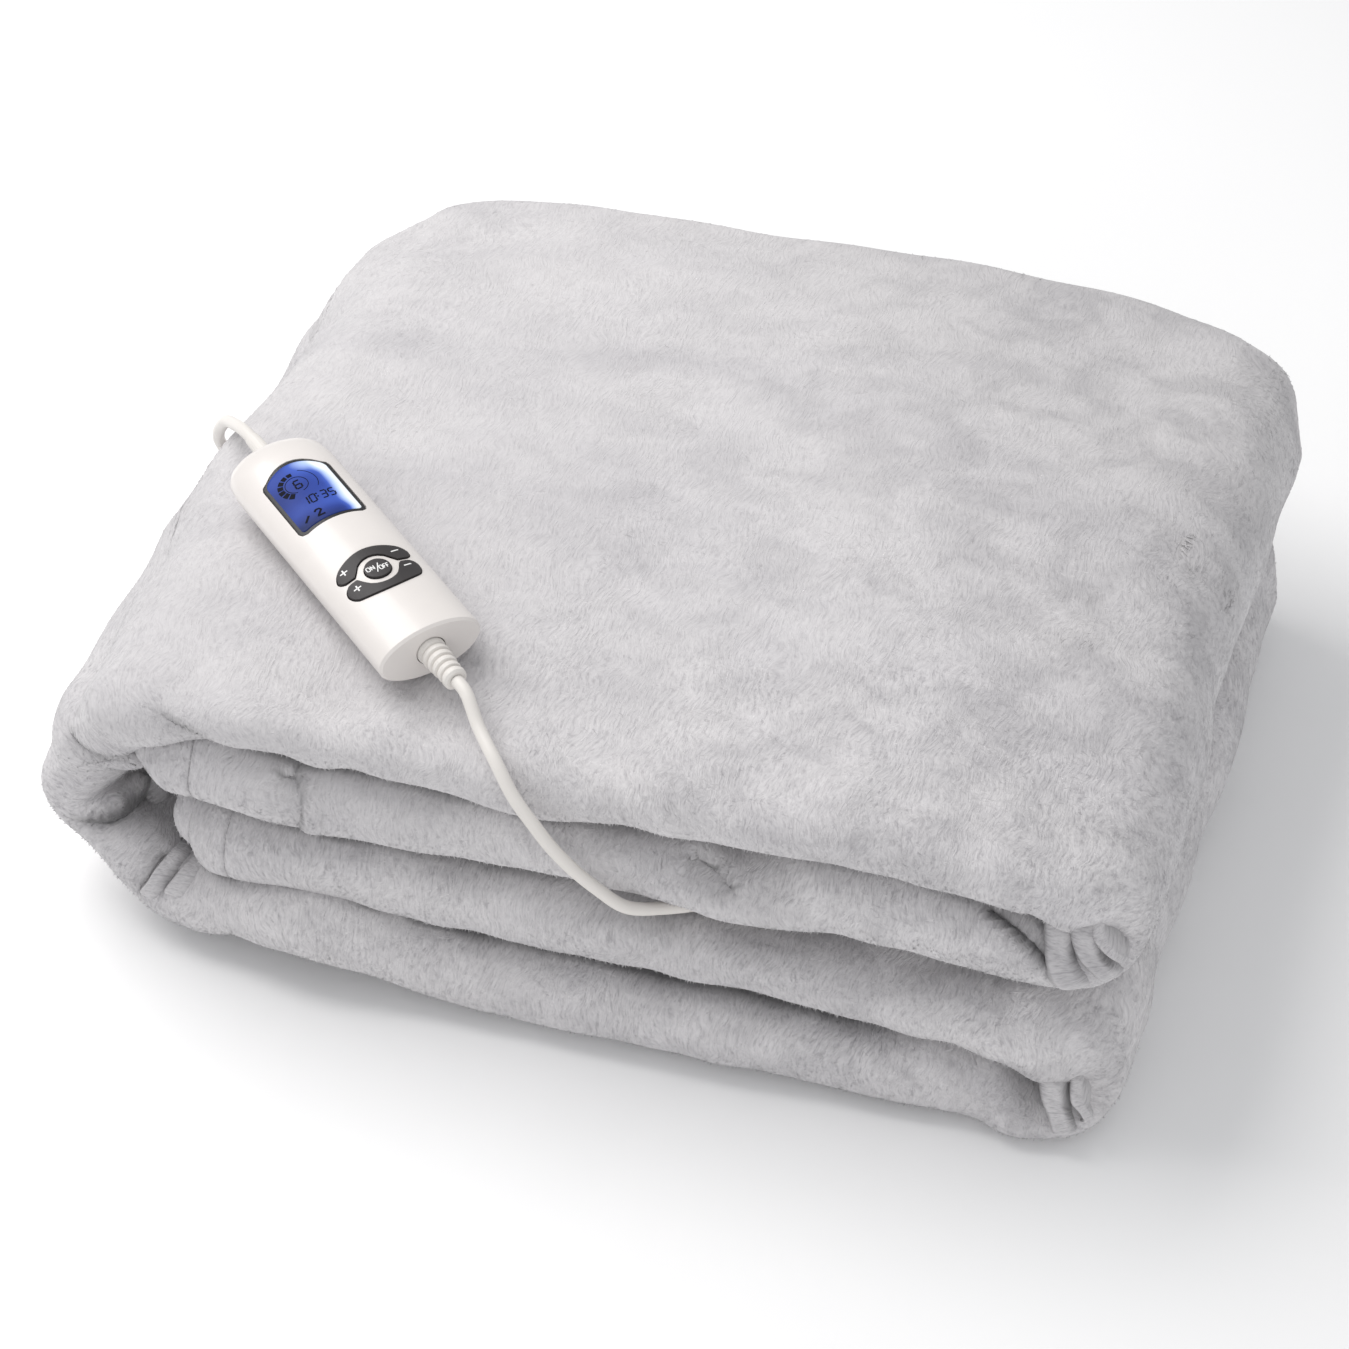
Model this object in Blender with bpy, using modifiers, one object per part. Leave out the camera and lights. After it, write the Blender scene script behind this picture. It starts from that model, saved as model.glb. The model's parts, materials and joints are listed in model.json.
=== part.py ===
"""Electric heated blanket, folded, with its hand controller and its two leads.

The blanket is cut 1.60 x 1.30 m.  It is folded twice across its width into a
packet of four plies, and the packet is folded into four layers: the second
layer turns over on the right into the top layer, the top layer wraps down
round the left side into the bottom layer, and the bottom layer turns over on
the right into the third layer.  The front of every layer is a closed rounded
fold.  Units are metres, +Z up, +X right, +Y to the back.
"""
import math

import bmesh
import bpy
import numpy as np
from mathutils import Matrix, Vector

# ------------------------------------------------------------------ sizes
GAP = 0.0015            # between one layer and the next
LIP = 1.15              # depth of a rounded fold, in half thicknesses
CROWN = 0.0120          # how far the middle of the top face rises
CROWN_X, CROWN_Y = 0.205, 0.180
CROWN_BACK = 0.020      # the crown's middle lies this far to the back

# heights of the layers at places along the width
# x (m), bottom|third, third|second, second|top, top face
LAYERS = [
    (-0.130, 0.0330, 0.0650, 0.0965, 0.1195),
    (-0.090, 0.0335, 0.0645, 0.0970, 0.1205),
    (-0.030, 0.0320, 0.0650, 0.0970, 0.1215),
    (0.030, 0.0320, 0.0650, 0.0985, 0.1230),
    (0.090, 0.0330, 0.0645, 0.1015, 0.1255),
    (0.140, 0.0305, 0.0620, 0.1015, 0.1260),
]
# the foot leaves the ground towards the left wrap
LIFT = {-0.130: 0.0075, -0.090: 0.0040}
# front and back limit of each layer
EDGES = {
    "bottom": (-0.165, 0.162),
    "third": (-0.159, 0.161),
    "second": (-0.160, 0.161),
    "top": (-0.161, 0.167),
}
# the wrap round the left side, from the top layer to the bottom layer
# x, z of the packet's middle, thickness, front, back
WRAP = [
    (-0.1480, 0.1040, 0.0290, -0.1590, 0.1590),
    (-0.1690, 0.0915, 0.0320, -0.1540, 0.1450),
    (-0.1808, 0.0625, 0.0345, -0.1450, 0.1330),
    (-0.1755, 0.0385, 0.0330, -0.1490, 0.1390),
    (-0.1530, 0.0235, 0.0300, -0.1570, 0.1500),
]
TURN_UPPER_X = 0.1660   # where the upper right turn starts
TURN_LOWER_X = 0.1675   # where the lower right turn starts
# half turn: angle, how far the front is drawn in, thickness factor
TURN = [
    (-90, 0.000, 1.00),
    (-45, 0.004, 0.96),
    (0, 0.013, 0.90),
    (45, 0.004, 0.96),
    (90, 0.000, 1.00),
]
# where the short lead slips in between the second and the third layer
SLIP_X, SLIP_Y = 0.044, -0.122
SLIP_RISE, SLIP_WIDE, SLIP_DEEP = 0.0048, 0.048, 0.022

# controller, in its own frame: x towards the blanket's lead, z out of its face
CTL_L, CTL_W, CTL_T = 0.1240, 0.0382, 0.0205
CTL_AT = (-0.0978, -0.0850)
CTL_TURN = -41.6        # degrees, its long axis from +X
CTL_LIFT = 0.0010       # how far its lowest line lies above the cloth
CTL_NOSE = 0.015        # length of the rounded far end
JOIN = 0.00015          # half the gap between the housing halves
SLACK = 0.00035         # round a key or the window

WINDOW = dict(far=-0.0377, far_bow=0.0047, near=-0.0058, near_bow=0.0010,
              half=0.0127, floor=0.0062)
PAD_X = 0.0264          # middle of the round key
KEY_R = 0.0046
RING_R = 0.0074         # inner edge of the two long keys
KEY_HALF = 0.0134
KEY_PROUD = 0.0007

CORD_D = 0.0046
FLOOR_Z = CORD_D / 2 + 0.0002
COIL_AT = (-0.080, 0.2160)
COIL_R = 0.0270         # middle of the turns
COIL_W, COIL_H = 0.0142, 0.0136
PLUG_AT = (0.0300, 0.2060)
PLUG_TURN = 4.0         # degrees from +X

# ------------------------------------------------------------------ helpers
for old in list(bpy.data.objects):
    bpy.data.objects.remove(old, do_unlink=True)

parts = bpy.data.collections.new("heated_blanket")
cutters = bpy.data.collections.new("cutters")
bpy.context.scene.collection.children.link(parts)
bpy.context.scene.collection.children.link(cutters)


def material(name, color, rough, metal=0.0):
    m = bpy.data.materials.new(name)
    m.use_nodes = True
    b = m.node_tree.nodes["Principled BSDF"]
    b.inputs["Base Color"].default_value = (*color, 1.0)
    b.inputs["Roughness"].default_value = rough
    b.inputs["Metallic"].default_value = metal
    return m


FLEECE = material("fleece", (0.70, 0.69, 0.70), 0.95)
SHELL = material("shell", (0.86, 0.84, 0.80), 0.35)
SCREEN = material("screen", (0.05, 0.10, 0.45), 0.10)
KEYS = material("keys", (0.06, 0.06, 0.07), 0.55)
LEAD = material("lead", (0.84, 0.83, 0.79), 0.45)
METAL = material("pin", (0.75, 0.70, 0.55), 0.30, 1.0)


def place(ob, mat, coll=parts, matrix=None):
    coll.objects.link(ob)
    if mat is not None:
        ob.data.materials.append(mat)
    if matrix is not None:
        ob.matrix_world = matrix
    return ob


def mesh_object(name, verts, faces, mat, coll=parts, matrix=None, smooth=True):
    me = bpy.data.meshes.new(name)
    me.from_pydata([tuple(map(float, v)) for v in verts], [], faces)
    me.validate()
    bm = bmesh.new()
    bm.from_mesh(me)
    bmesh.ops.recalc_face_normals(bm, faces=bm.faces)
    bm.to_mesh(me)
    bm.free()
    if smooth:
        me.shade_smooth()
        me.set_sharp_from_angle(angle=math.radians(45))
    return place(bpy.data.objects.new(name, me), mat, coll, matrix)


def loft(name, rings, mat, coll=parts, matrix=None):
    """A closed solid through rings that all have the same number of points."""
    n = len(rings[0])
    verts = [p for ring in rings for p in ring]
    faces = []
    for i in range(len(rings) - 1):
        for j in range(n):
            k = (j + 1) % n
            faces.append((i * n + j, i * n + k, (i + 1) * n + k, (i + 1) * n + j))
    last = (len(rings) - 1) * n
    faces.append(tuple(range(n))[::-1])
    faces.append(tuple(range(last, last + n)))
    return mesh_object(name, verts, faces, mat, coll, matrix)


def smooth_rows(rows, count):
    """Smooth curve through rows of numbers; count(i, d) points in span i."""
    p = np.array(rows, float)
    n = len(p)
    d = np.linalg.norm(np.diff(p[:, :2], axis=0), axis=1)
    t = np.concatenate([[0], np.cumsum(np.maximum(d, 1e-4) ** 0.6)])
    m = np.zeros_like(p)
    m[0] = (p[1] - p[0]) / (t[1] - t[0])
    m[-1] = (p[-1] - p[-2]) / (t[-1] - t[-2])
    for i in range(1, n - 1):
        a, b = t[i] - t[i - 1], t[i + 1] - t[i]
        m[i] = ((p[i] - p[i - 1]) / a * b + (p[i + 1] - p[i]) / b * a) / (a + b)
    out = []
    for i in range(n - 1):
        h, k = t[i + 1] - t[i], count(i, d[i])
        for j in range(k):
            u = j / k
            out.append((2 * u**3 - 3 * u**2 + 1) * p[i] + (u**3 - 2 * u**2 + u) * h * m[i]
                       + (3 * u**2 - 2 * u**3) * p[i + 1] + (u**3 - u**2) * h * m[i + 1])
    out.append(p[-1])
    return np.array(out)


# ------------------------------------------------------------------ blanket
def layer(low, high, edges):
    rows = []
    for r in LAYERS:
        a = LIFT.get(r[0], 0.0) if low is None else r[low] + GAP / 2
        b = r[high] - (GAP / 2 if high < 4 else 0.0)
        rows.append((r[0], (a + b) / 2, b - a, edges[0], edges[1]))
    return rows


def half_turn(low, high, x0, edges):
    mid, rise = (low[1] + high[1]) / 2, (high[1] - low[1]) / 2
    rows = []
    for deg, drawn, thin in TURN:
        s = (deg + 90) / 180
        c = math.cos(math.radians(deg))
        rows.append((x0 + (rise + 0.001) * c * 1.05,
                     mid + (rise + 0.0005 * c) * math.sin(math.radians(deg)),
                     (low[2] * (1 - s) + high[2] * s) * thin,
                     edges[0] + 0.002 + drawn, edges[1] - 0.010 - 2.2 * drawn))
    return rows


def fold_rows():
    second = layer(2, 3, EDGES["second"])
    top = layer(3, 4, EDGES["top"])[::-1]
    bottom = layer(None, 1, EDGES["bottom"])
    third = layer(1, 2, EDGES["third"])[::-1]
    s, t = second[0], third[-1]
    start = [(-0.1475, s[1] + 0.0012, s[2] * 0.86, s[3] + 0.008, s[4] - 0.012)]
    end = [(-0.1395, t[1] + 0.0012, t[2] * 0.90, t[3] + 0.008, t[4] - 0.012)]
    return (start + second + half_turn(second[-1], top[0], TURN_UPPER_X, EDGES["top"])
            + top + WRAP + bottom[1:]
            + half_turn(bottom[-1], third[0], TURN_LOWER_X, EDGES["third"]) + third + end)


SPANS = (0.0, 0.10, 0.30, 0.52, 0.70, 0.80, 0.87, 0.93, 0.97)


def packet(t, front, back, lip=8, tail=5):
    """Closed outline of the packet (y, height), with its two rounded sides."""
    r = t / 2
    d = LIP * r
    a, b = back - d, front + d
    pts = [(a + (b - a) * u, r) for u in SPANS]
    for k in range(lip + 1):
        w = math.pi / 2 * (1 - 2 * k / lip)
        pts.append((b - d * max(math.cos(w), 0.0) ** 0.9, r * math.sin(w)))
    pts += [(a + (b - a) * u, -r) for u in SPANS[:0:-1]]
    for k in range(tail):
        w = -math.pi / 2 + math.pi * k / tail
        pts.append((a + d * math.cos(w), r * math.sin(w)))
    return pts


def crown(x, y):
    a = max(0.0, 1 - (x / CROWN_X) ** 2)
    b = max(0.0, 1 - ((y - CROWN_BACK) / CROWN_Y) ** 2)
    return CROWN * a * b


def slip(x, y):
    """Rise that makes room for the lead between the second and third layers."""
    a = math.exp(-((x - SLIP_X) / SLIP_WIDE) ** 2)
    b = math.exp(-(max(0.0, y - SLIP_Y) / SLIP_DEEP) ** 2)
    return SLIP_RISE * a * b


def blanket_rings():
    rows = fold_rows()
    line = smooth_rows(rows, lambda i, d: max(2, int(math.ceil(d / 0.0135))))
    tan = np.gradient(line[:, :2], axis=0)
    tan /= np.linalg.norm(tan, axis=1)[:, None]
    rings = []
    for (x, z, t, front, back), (tx, tz) in zip(line, tan):
        nx, nz = tz, -tx                      # points out of the folded stack
        ring = []
        for y, h in packet(t, front, back):
            px, pz = x + nx * h, z + nz * h
            up = max(0.0, nz * h) / (t / 2)   # 1 on an upward face
            down = max(0.0, -nz * h) / (t / 2)
            if z > 0.09:
                pz += crown(px, y) * up
            elif z > 0.068:
                pz += slip(px, y) * down
            elif z > 0.038 and abs(nz) > 0.5:
                pz -= slip(px, y) * up
            ring.append((px, y, max(pz, 0.0)))
        rings.append(ring)
    # round the two hemmed ends
    for ends, step in ((0, 1), (-1, -1)):
        a, b = np.array(rings[ends]), np.array(rings[ends + step])
        out = (a.mean(0) - b.mean(0))
        out /= np.linalg.norm(out)
        mid = a.mean(0)
        for grow, size in ((0.0050, 0.86), (0.0080, 0.56)):
            flat = a.copy()
            flat[:, 2] = mid[2] + (a[:, 2] - mid[2]) * size
            flat[:, 1] = a[:, 1] * (1 - 0.02 * grow / 0.008)
            ring = [tuple(p) for p in flat + out * grow]
            rings.insert(0, ring) if ends == 0 else rings.append(ring)
    return rings


RINGS = blanket_rings()
ALL = np.array([p for ring in RINGS for p in ring])
# the origin is the middle of the blanket's foot
MID = ((ALL[:, 0].max() + ALL[:, 0].min()) / 2, (ALL[:, 1].max() + ALL[:, 1].min()) / 2)


def here(x, y, z):
    return (x - MID[0], y - MID[1], z)


loft("blanket", [[here(*p) for p in ring] for ring in RINGS], FLEECE)


def cloth_top(x, y):
    """Height of the top face, between the sections of its table."""
    xs = [r[0] for r in LAYERS]
    return float(np.interp(x, xs, [r[4] for r in LAYERS])) + crown(x, y)


# --------------------------------------------------------------- controller
def controller_matrix():
    x, y = CTL_AT
    e = 0.045
    gx = (cloth_top(x + e, y) - cloth_top(x - e, y)) / (2 * e)
    gy = (cloth_top(x, y + e) - cloth_top(x, y - e)) / (2 * e)
    up = Vector((-gx, -gy, 1)).normalized()
    a = math.radians(CTL_TURN)
    along = Vector((math.cos(a), math.sin(a), 0))
    along = (along - up * along.dot(up)).normalized()
    side = up.cross(along)
    at = Vector(here(x, y, cloth_top(x, y))) + up * (CTL_T / 2 + CTL_LIFT)
    m = Matrix((along, side, up)).transposed().to_4x4()
    m.translation = at
    return m


CTL = controller_matrix()


def form_size(x):
    """Half width and half height of the housing at x along its length."""
    back = -CTL_L / 2
    w, h = CTL_W / 2, CTL_T / 2
    if x < back + CTL_NOSE:
        u = min(1.0, (back + CTL_NOSE - x) / CTL_NOSE)
        w *= max(0.0, 1 - u ** 2.6) ** (1 / 2.6)
        h *= max(0.0, 1 - u ** 2.3) ** (1 / 2.3)
    near = CTL_L / 2 - x
    if near < 0.0009:
        k = 0.0009 - near
        w, h = w - k, h - k
    return w, h


FORM_X = ([-CTL_L / 2 + CTL_NOSE * (1 - math.sin(math.radians(a))) for a in
           (86, 78, 68, 56, 42, 25)] + [-0.0470, -0.030, -0.010, 0.012, 0.025, 0.040]
          + [CTL_L / 2 - 0.0009, CTL_L / 2])


def half_housing(name, sign, grow=0.0, sides=26):
    rings = []
    for x in FORM_X:
        w, h = form_size(x)
        w, h = max(w, 0.0012) + grow, max(h, 0.0010) + grow
        ring = []
        for k in range(sides + 1):
            a = math.pi * k / sides
            ring.append((x, w * math.cos(a), sign * (JOIN + (h - JOIN) * math.sin(a))))
        rings.append(ring)
    return rings


def outline_cutter(name, outline, low, high):
    """A prism with a flat outline, from low to high."""
    n = len(outline)
    verts = [(x, y, low) for x, y in outline] + [(x, y, high) for x, y in outline]
    faces = [tuple(range(n))[::-1], tuple(range(n, 2 * n))]
    faces += [(i, (i + 1) % n, n + (i + 1) % n, n + i) for i in range(n)]
    ob = mesh_object(name, verts, faces, None, cutters, CTL, smooth=False)
    ob.hide_render = True
    ob.display_type = "WIRE"
    return ob


def cut(ob, cutter, operation="DIFFERENCE"):
    m = ob.modifiers.new(cutter.name, "BOOLEAN")
    m.operation = operation
    m.solver = "EXACT"
    m.object = cutter


def grown(outline, by):
    """The outline moved outwards by a distance (inwards if negative)."""
    p = np.array(outline)
    n = len(p)
    area = 0.5 * sum(p[i][0] * p[(i + 1) % n][1] - p[(i + 1) % n][0] * p[i][1] for i in range(n))
    out = []
    for i in range(n):
        a, b = p[i] - p[i - 1], p[(i + 1) % n] - p[i]
        na = np.array((a[1], -a[0])) / np.linalg.norm(a)
        nb = np.array((b[1], -b[0])) / np.linalg.norm(b)
        v = na + nb
        v /= max(np.dot(v, v) / 2, 0.6)
        out.append(tuple(p[i] + v * by * (1 if area > 0 else -1)))
    return out


def window_outline(n=9, corner=0.0022):
    w = WINDOW
    pts = []
    for k in range(n):                                    # far edge, bowed out
        s = -1 + 2 * k / (n - 1)
        y = s * (w["half"] - corner)
        pts.append((w["far"] - w["far_bow"] * (1 - s * s), y))
    pts += [(w["far"] + corner * 0.35, w["half"] - corner * 0.3), (w["far"] + corner, w["half"])]
    pts += [(w["near"] - corner, w["half"]), (w["near"] - corner * 0.3, w["half"] - corner * 0.3)]
    for k in range(n):                                    # near edge, bowed in
        s = 1 - 2 * k / (n - 1)
        y = s * (w["half"] - corner)
        pts.append((w["near"] - w["near_bow"] * (1 - s * s), y))
    pts += [(w["near"] - corner * 0.3, -w["half"] + corner * 0.3), (w["near"] - corner, -w["half"])]
    pts += [(w["far"] + corner, -w["half"]), (w["far"] + corner * 0.35, -w["half"] + corner * 0.3)]
    return pts


def key_outline(which, n=25):
    """One of the two long curved keys round the round one."""
    outer, inner = [], []
    for k in range(n):
        s = math.sin(math.pi / 2 * (-1 + 2 * k / (n - 1)))
        y = KEY_HALF * s
        if which == "upper":
            o = PAD_X - 0.0116 + 0.0050 * abs(s) ** 1.9
            i = PAD_X - 0.0013
        else:
            o = PAD_X + 0.0107 - 0.0030 * abs(s) ** 2.0
            i = PAD_X + 0.0004
        sign = -1 if which == "upper" else 1
        if abs(y) < RING_R:
            ring = PAD_X + sign * math.sqrt(RING_R ** 2 - y * y)
            i = min(i, ring) if sign < 0 else max(i, ring)
        # round the ends
        e = max(0.0, (abs(y) - (KEY_HALF - 0.0026)) / 0.0026)
        if e > 0:
            m, r = (o + i) / 2, math.sqrt(max(0.02, 1 - e * e))
            o, i = m + (o - m) * r, m + (i - m) * r
        outer.append((o, y))
        inner.append((i, y))
    return outer + inner[::-1]


def circle(x, y, r, n=32):
    return [(x + r * math.cos(2 * math.pi * k / n), y + r * math.sin(2 * math.pi * k / n))
            for k in range(n)]


upper = loft("controller_upper", half_housing("upper", 1), SHELL, matrix=CTL)
lower = loft("controller_lower", half_housing("lower", -1), SHELL, matrix=CTL)

# window and keys, each in a pocket of the upper half
FACES = [
    # name, outline, pocket floor, piece bottom, proud of the face, material
    ("display_window", window_outline(), WINDOW["floor"], 0.0065, -0.0002, SCREEN),
    ("power_button", circle(PAD_X, 0.0, KEY_R), 0.0052, 0.0064, KEY_PROUD + 0.0002, KEYS),
    ("rocker_upper", key_outline("upper"), 0.0042, 0.0054, KEY_PROUD, KEYS),
    ("rocker_lower", key_outline("lower"), 0.0042, 0.0054, KEY_PROUD, KEYS),
]
for name, outline, floor, base, proud, mat in FACES:
    cut(upper, outline_cutter(name + "_pocket", grown(outline, SLACK), floor, 0.02))
    piece = loft(name, half_housing(name, 1, grow=proud, sides=40), mat, matrix=CTL)
    cut(piece, outline_cutter(name + "_outline", outline, base, 0.02), "INTERSECT")


# ------------------------------------------------- reliefs and turned pieces
def turned(name, profile, mat, matrix, steps=24, coll=parts):
    """Profile rows are (radius, height), from the top of the axis down."""
    me = bpy.data.meshes.new(name)
    me.from_pydata([(r, 0.0, z) for r, z in profile], [(i, i + 1) for i in range(len(profile) - 1)], [])
    ob = place(bpy.data.objects.new(name, me), mat, coll, matrix)
    s = ob.modifiers.new("turn", "SCREW")
    s.angle = 2 * math.pi
    s.steps = s.render_steps = steps
    s.use_merge_vertices = True
    s.merge_threshold = 0.00001
    s.use_smooth_shade = True
    return ob


def along(matrix, x, to):
    """Frame at x on the controller's axis, its z pointing towards to (+1/-1)."""
    turn = Matrix.Rotation(math.radians(90 * to), 4, "Y")
    return matrix @ Matrix.Translation((x, 0, 0)) @ turn


RELIEF_NEAR = dict(inside=0.0060, base=0.0052, tip=0.0042, ribs=4, pitch=0.0030,
                   first=0.0022, collar=0.0034)
RELIEF_FAR = dict(inside=0.0095, base=0.0034, tip=0.0027, out=0.0115)


def relief_near_profile():
    """Four ribs that grow smaller outwards, and a round collar at the tip."""
    c = RELIEF_NEAR
    end = c["first"] + c["ribs"] * c["pitch"]
    prof = []
    z = end + c["collar"]
    tip = c["tip"]
    prof += [(0.0, z), (tip * 0.80, z), (tip, z - 0.0007), (tip + 0.0001, z - c["collar"] * 0.6),
             (tip - 0.0006, z - c["collar"] + 0.0001)]
    for k in range(c["ribs"] - 1, -1, -1):
        r = tip + (c["base"] - tip) * (1 - (k + 0.5) / c["ribs"])
        b = c["first"] + k * c["pitch"]
        prof += [(r - 0.0011, b + c["pitch"] * 0.93), (r - 0.0002, b + c["pitch"] * 0.80),
                 (r, b + c["pitch"] * 0.50), (r - 0.0002, b + c["pitch"] * 0.22),
                 (r - 0.0011, b + c["pitch"] * 0.07)]
    prof += [(c["base"] - 0.0004, c["first"] - 0.0004), (c["base"], 0.0004),
             (c["base"], -c["inside"]), (0.0, -c["inside"])]
    return prof


def relief_far_profile():
    c = RELIEF_FAR
    return [(0.0, c["out"]), (c["tip"], c["out"]), (c["base"] * 0.9, 0.002), (c["base"], 0.0006),
            (c["base"], -c["inside"]), (0.0, -c["inside"])]


NEAR_X, FAR_X = CTL_L / 2, -CTL_L / 2
turned("relief_near", relief_near_profile(), LEAD, along(CTL, NEAR_X, 1))
turned("relief_far", relief_far_profile(), LEAD, along(CTL, FAR_X + 0.0004, -1), steps=20)
for name, x, to, r, deep in (("bore_near", NEAR_X, 1, RELIEF_NEAR["base"], RELIEF_NEAR["inside"]),
                             ("bore_far", FAR_X + 0.0004, -1, RELIEF_FAR["base"], RELIEF_FAR["inside"])):
    r += 0.0003
    bore = turned(name, [(0.0, 0.006), (r, 0.006), (r, -deep - 0.0003), (0.0, -deep - 0.0003)],
                  None, along(CTL, x, to), steps=32, coll=cutters)
    bore.hide_render = True
    bore.display_type = "WIRE"
    cut(upper, bore)
    cut(lower, bore)


# -------------------------------------------------------------------- leads
def route(points, step):
    """Points a step apart on a smooth curve through the route's own points."""
    p = np.array(points, float)
    n = len(p)
    d = np.linalg.norm(np.diff(p, axis=0), axis=1)
    t = np.concatenate([[0], np.cumsum(d ** 0.7)])
    m = np.zeros_like(p)
    m[0] = (p[1] - p[0]) / (t[1] - t[0])
    m[-1] = (p[-1] - p[-2]) / (t[-1] - t[-2])
    for i in range(1, n - 1):
        a, b = t[i] - t[i - 1], t[i + 1] - t[i]
        m[i] = ((p[i] - p[i - 1]) / a * b + (p[i + 1] - p[i]) / b * a) / (a + b)
    fine = []
    for i in range(n - 1):
        h = t[i + 1] - t[i]
        for u in np.linspace(0, 1, 40, endpoint=False):
            fine.append((2 * u**3 - 3 * u**2 + 1) * p[i] + (u**3 - 2 * u**2 + u) * h * m[i]
                        + (3 * u**2 - 2 * u**3) * p[i + 1] + (u**3 - u**2) * h * m[i + 1])
    fine.append(p[-1])
    fine = np.array(fine)
    s = np.concatenate([[0], np.cumsum(np.linalg.norm(np.diff(fine, axis=0), axis=1))])
    k = max(2, int(round(s[-1] / step)) + 1)
    return np.stack([np.interp(np.linspace(0, s[-1], k), s, fine[:, c]) for c in range(3)], -1)


def tube(name, pts, diameter, mat, sides=3):
    cu = bpy.data.curves.new(name, "CURVE")
    cu.dimensions = "3D"
    cu.bevel_depth = diameter / 2
    cu.bevel_resolution = sides
    cu.use_fill_caps = True
    cu.resolution_u = 1
    cu.render_resolution_u = 0
    sp = cu.splines.new("POLY")
    sp.points.add(len(pts) - 1)
    for q, p in zip(sp.points, pts):
        q.co = (*map(float, p), 1.0)
    return place(bpy.data.objects.new(name, cu), mat)


def on_controller(x, z=0.0):
    return tuple(CTL @ Vector((x, 0.0, z)))


tip_near = NEAR_X + RELIEF_NEAR["first"] + RELIEF_NEAR["ribs"] * RELIEF_NEAR["pitch"] + RELIEF_NEAR["collar"]
LEAD_SHORT = [
    on_controller(tip_near + 0.0003),
    on_controller(tip_near + 0.0060, -0.0004),
    here(-0.0275, -0.1503, 0.1310),
    here(-0.0175, -0.1608, 0.1260),
    here(-0.0099, -0.1660, 0.1175),
    here(-0.0028, -0.1684, 0.1100),
    here(0.0034, -0.1692, 0.1022),
    here(0.0105, -0.1688, 0.0940),
    here(0.0180, -0.1666, 0.0852),
    here(0.0268, -0.1622, 0.0750),
    here(0.0368, -0.1530, 0.0688),
    here(0.0490, -0.1437, 0.0660),
    here(0.0610, -0.1350, 0.0652),
    here(0.0720, -0.1270, 0.0652),
]
tip_far = FAR_X + 0.0004 - RELIEF_FAR["out"]
LEAD_LONG = [
    on_controller(tip_far - 0.0003),
    on_controller(tip_far - 0.0060, -0.0006),
    here(-0.1700, -0.0170, 0.1262),
    here(-0.1785, -0.0040, 0.1160),
    here(-0.1862, 0.0080, 0.1044),
    here(-0.1937, 0.0190, 0.0915),
    here(-0.1992, 0.0295, 0.0783),
    here(-0.2016, 0.0395, 0.0652),
    here(-0.2011, 0.0500, 0.0520),
    here(-0.1987, 0.0620, 0.0380),
    here(-0.1950, 0.0760, 0.0240),
    here(-0.1925, 0.0910, 0.0115),
    here(-0.1900, 0.1080, 0.0042),
    here(-0.1880, 0.1260, FLOOR_Z),
    here(-0.1850, 0.1480, FLOOR_Z),
    here(-0.1720, 0.1720, FLOOR_Z),
    here(-0.1480, 0.1850, FLOOR_Z),
    here(-0.1220, 0.1860, FLOOR_Z),
    here(-0.1010, 0.1848, FLOOR_Z),
]
# the first bit of each lead stays on the controller's axis
tube("lead_blanket", [on_controller(tip_near + 0.0003), *route([on_controller(tip_near + 0.0020)] + LEAD_SHORT[1:], 0.0085)],
     CORD_D, LEAD)
tube("lead_mains", [on_controller(tip_far - 0.0003), *route([on_controller(tip_far - 0.0020)] + LEAD_LONG[1:], 0.0100)],
     CORD_D, LEAD)

# the wound part of the long lead: the outer form of its turns
cx, cy, _ = here(*COIL_AT, 0)


def coil_profile(n=6):
    """Rounded outline of the wound turns, outer side from top to bottom."""
    a, b, c = COIL_W / 2, COIL_H / 2, 0.0024
    pts = []
    for mx, mz, start in ((a - c, b - c, 90), (a - c, -b + c, 0), (-a + c, -b + c, -90), (-a + c, b - c, -180)):
        for k in range(3):
            w = math.radians(start - 45 * k)
            pts.append((COIL_R + mx + c * math.cos(w), mz + c * math.sin(w)))
    return pts


prof = coil_profile()
me = bpy.data.meshes.new("lead_coil")
me.from_pydata([(r, 0.0, z) for r, z in prof], [(i, (i + 1) % len(prof)) for i in range(len(prof))], [])
ring = place(bpy.data.objects.new("lead_coil", me), LEAD, matrix=Matrix.Translation((cx, cy, COIL_H / 2 + 0.0002)))
s = ring.modifiers.new("turn", "SCREW")
s.angle = 2 * math.pi
s.steps = s.render_steps = 40
s.use_merge_vertices = True
s.merge_threshold = 0.00001

# plug: flat body with two round pins, its lead coming from the coil
PLUG_L, PLUG_W, PLUG_T = 0.0360, 0.0350, 0.0137
PLUG_WAIST, PLUG_TAIL = 0.0235, 0.0100
PIN_D, PIN_OUT, PIN_IN, PIN_SPAN = 0.0040, 0.0190, 0.0060, 0.0180
PLUG = Matrix.Translation(here(*PLUG_AT, PLUG_T / 2 + 0.0002)) @ Matrix.Rotation(math.radians(PLUG_TURN), 4, "Z")


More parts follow.
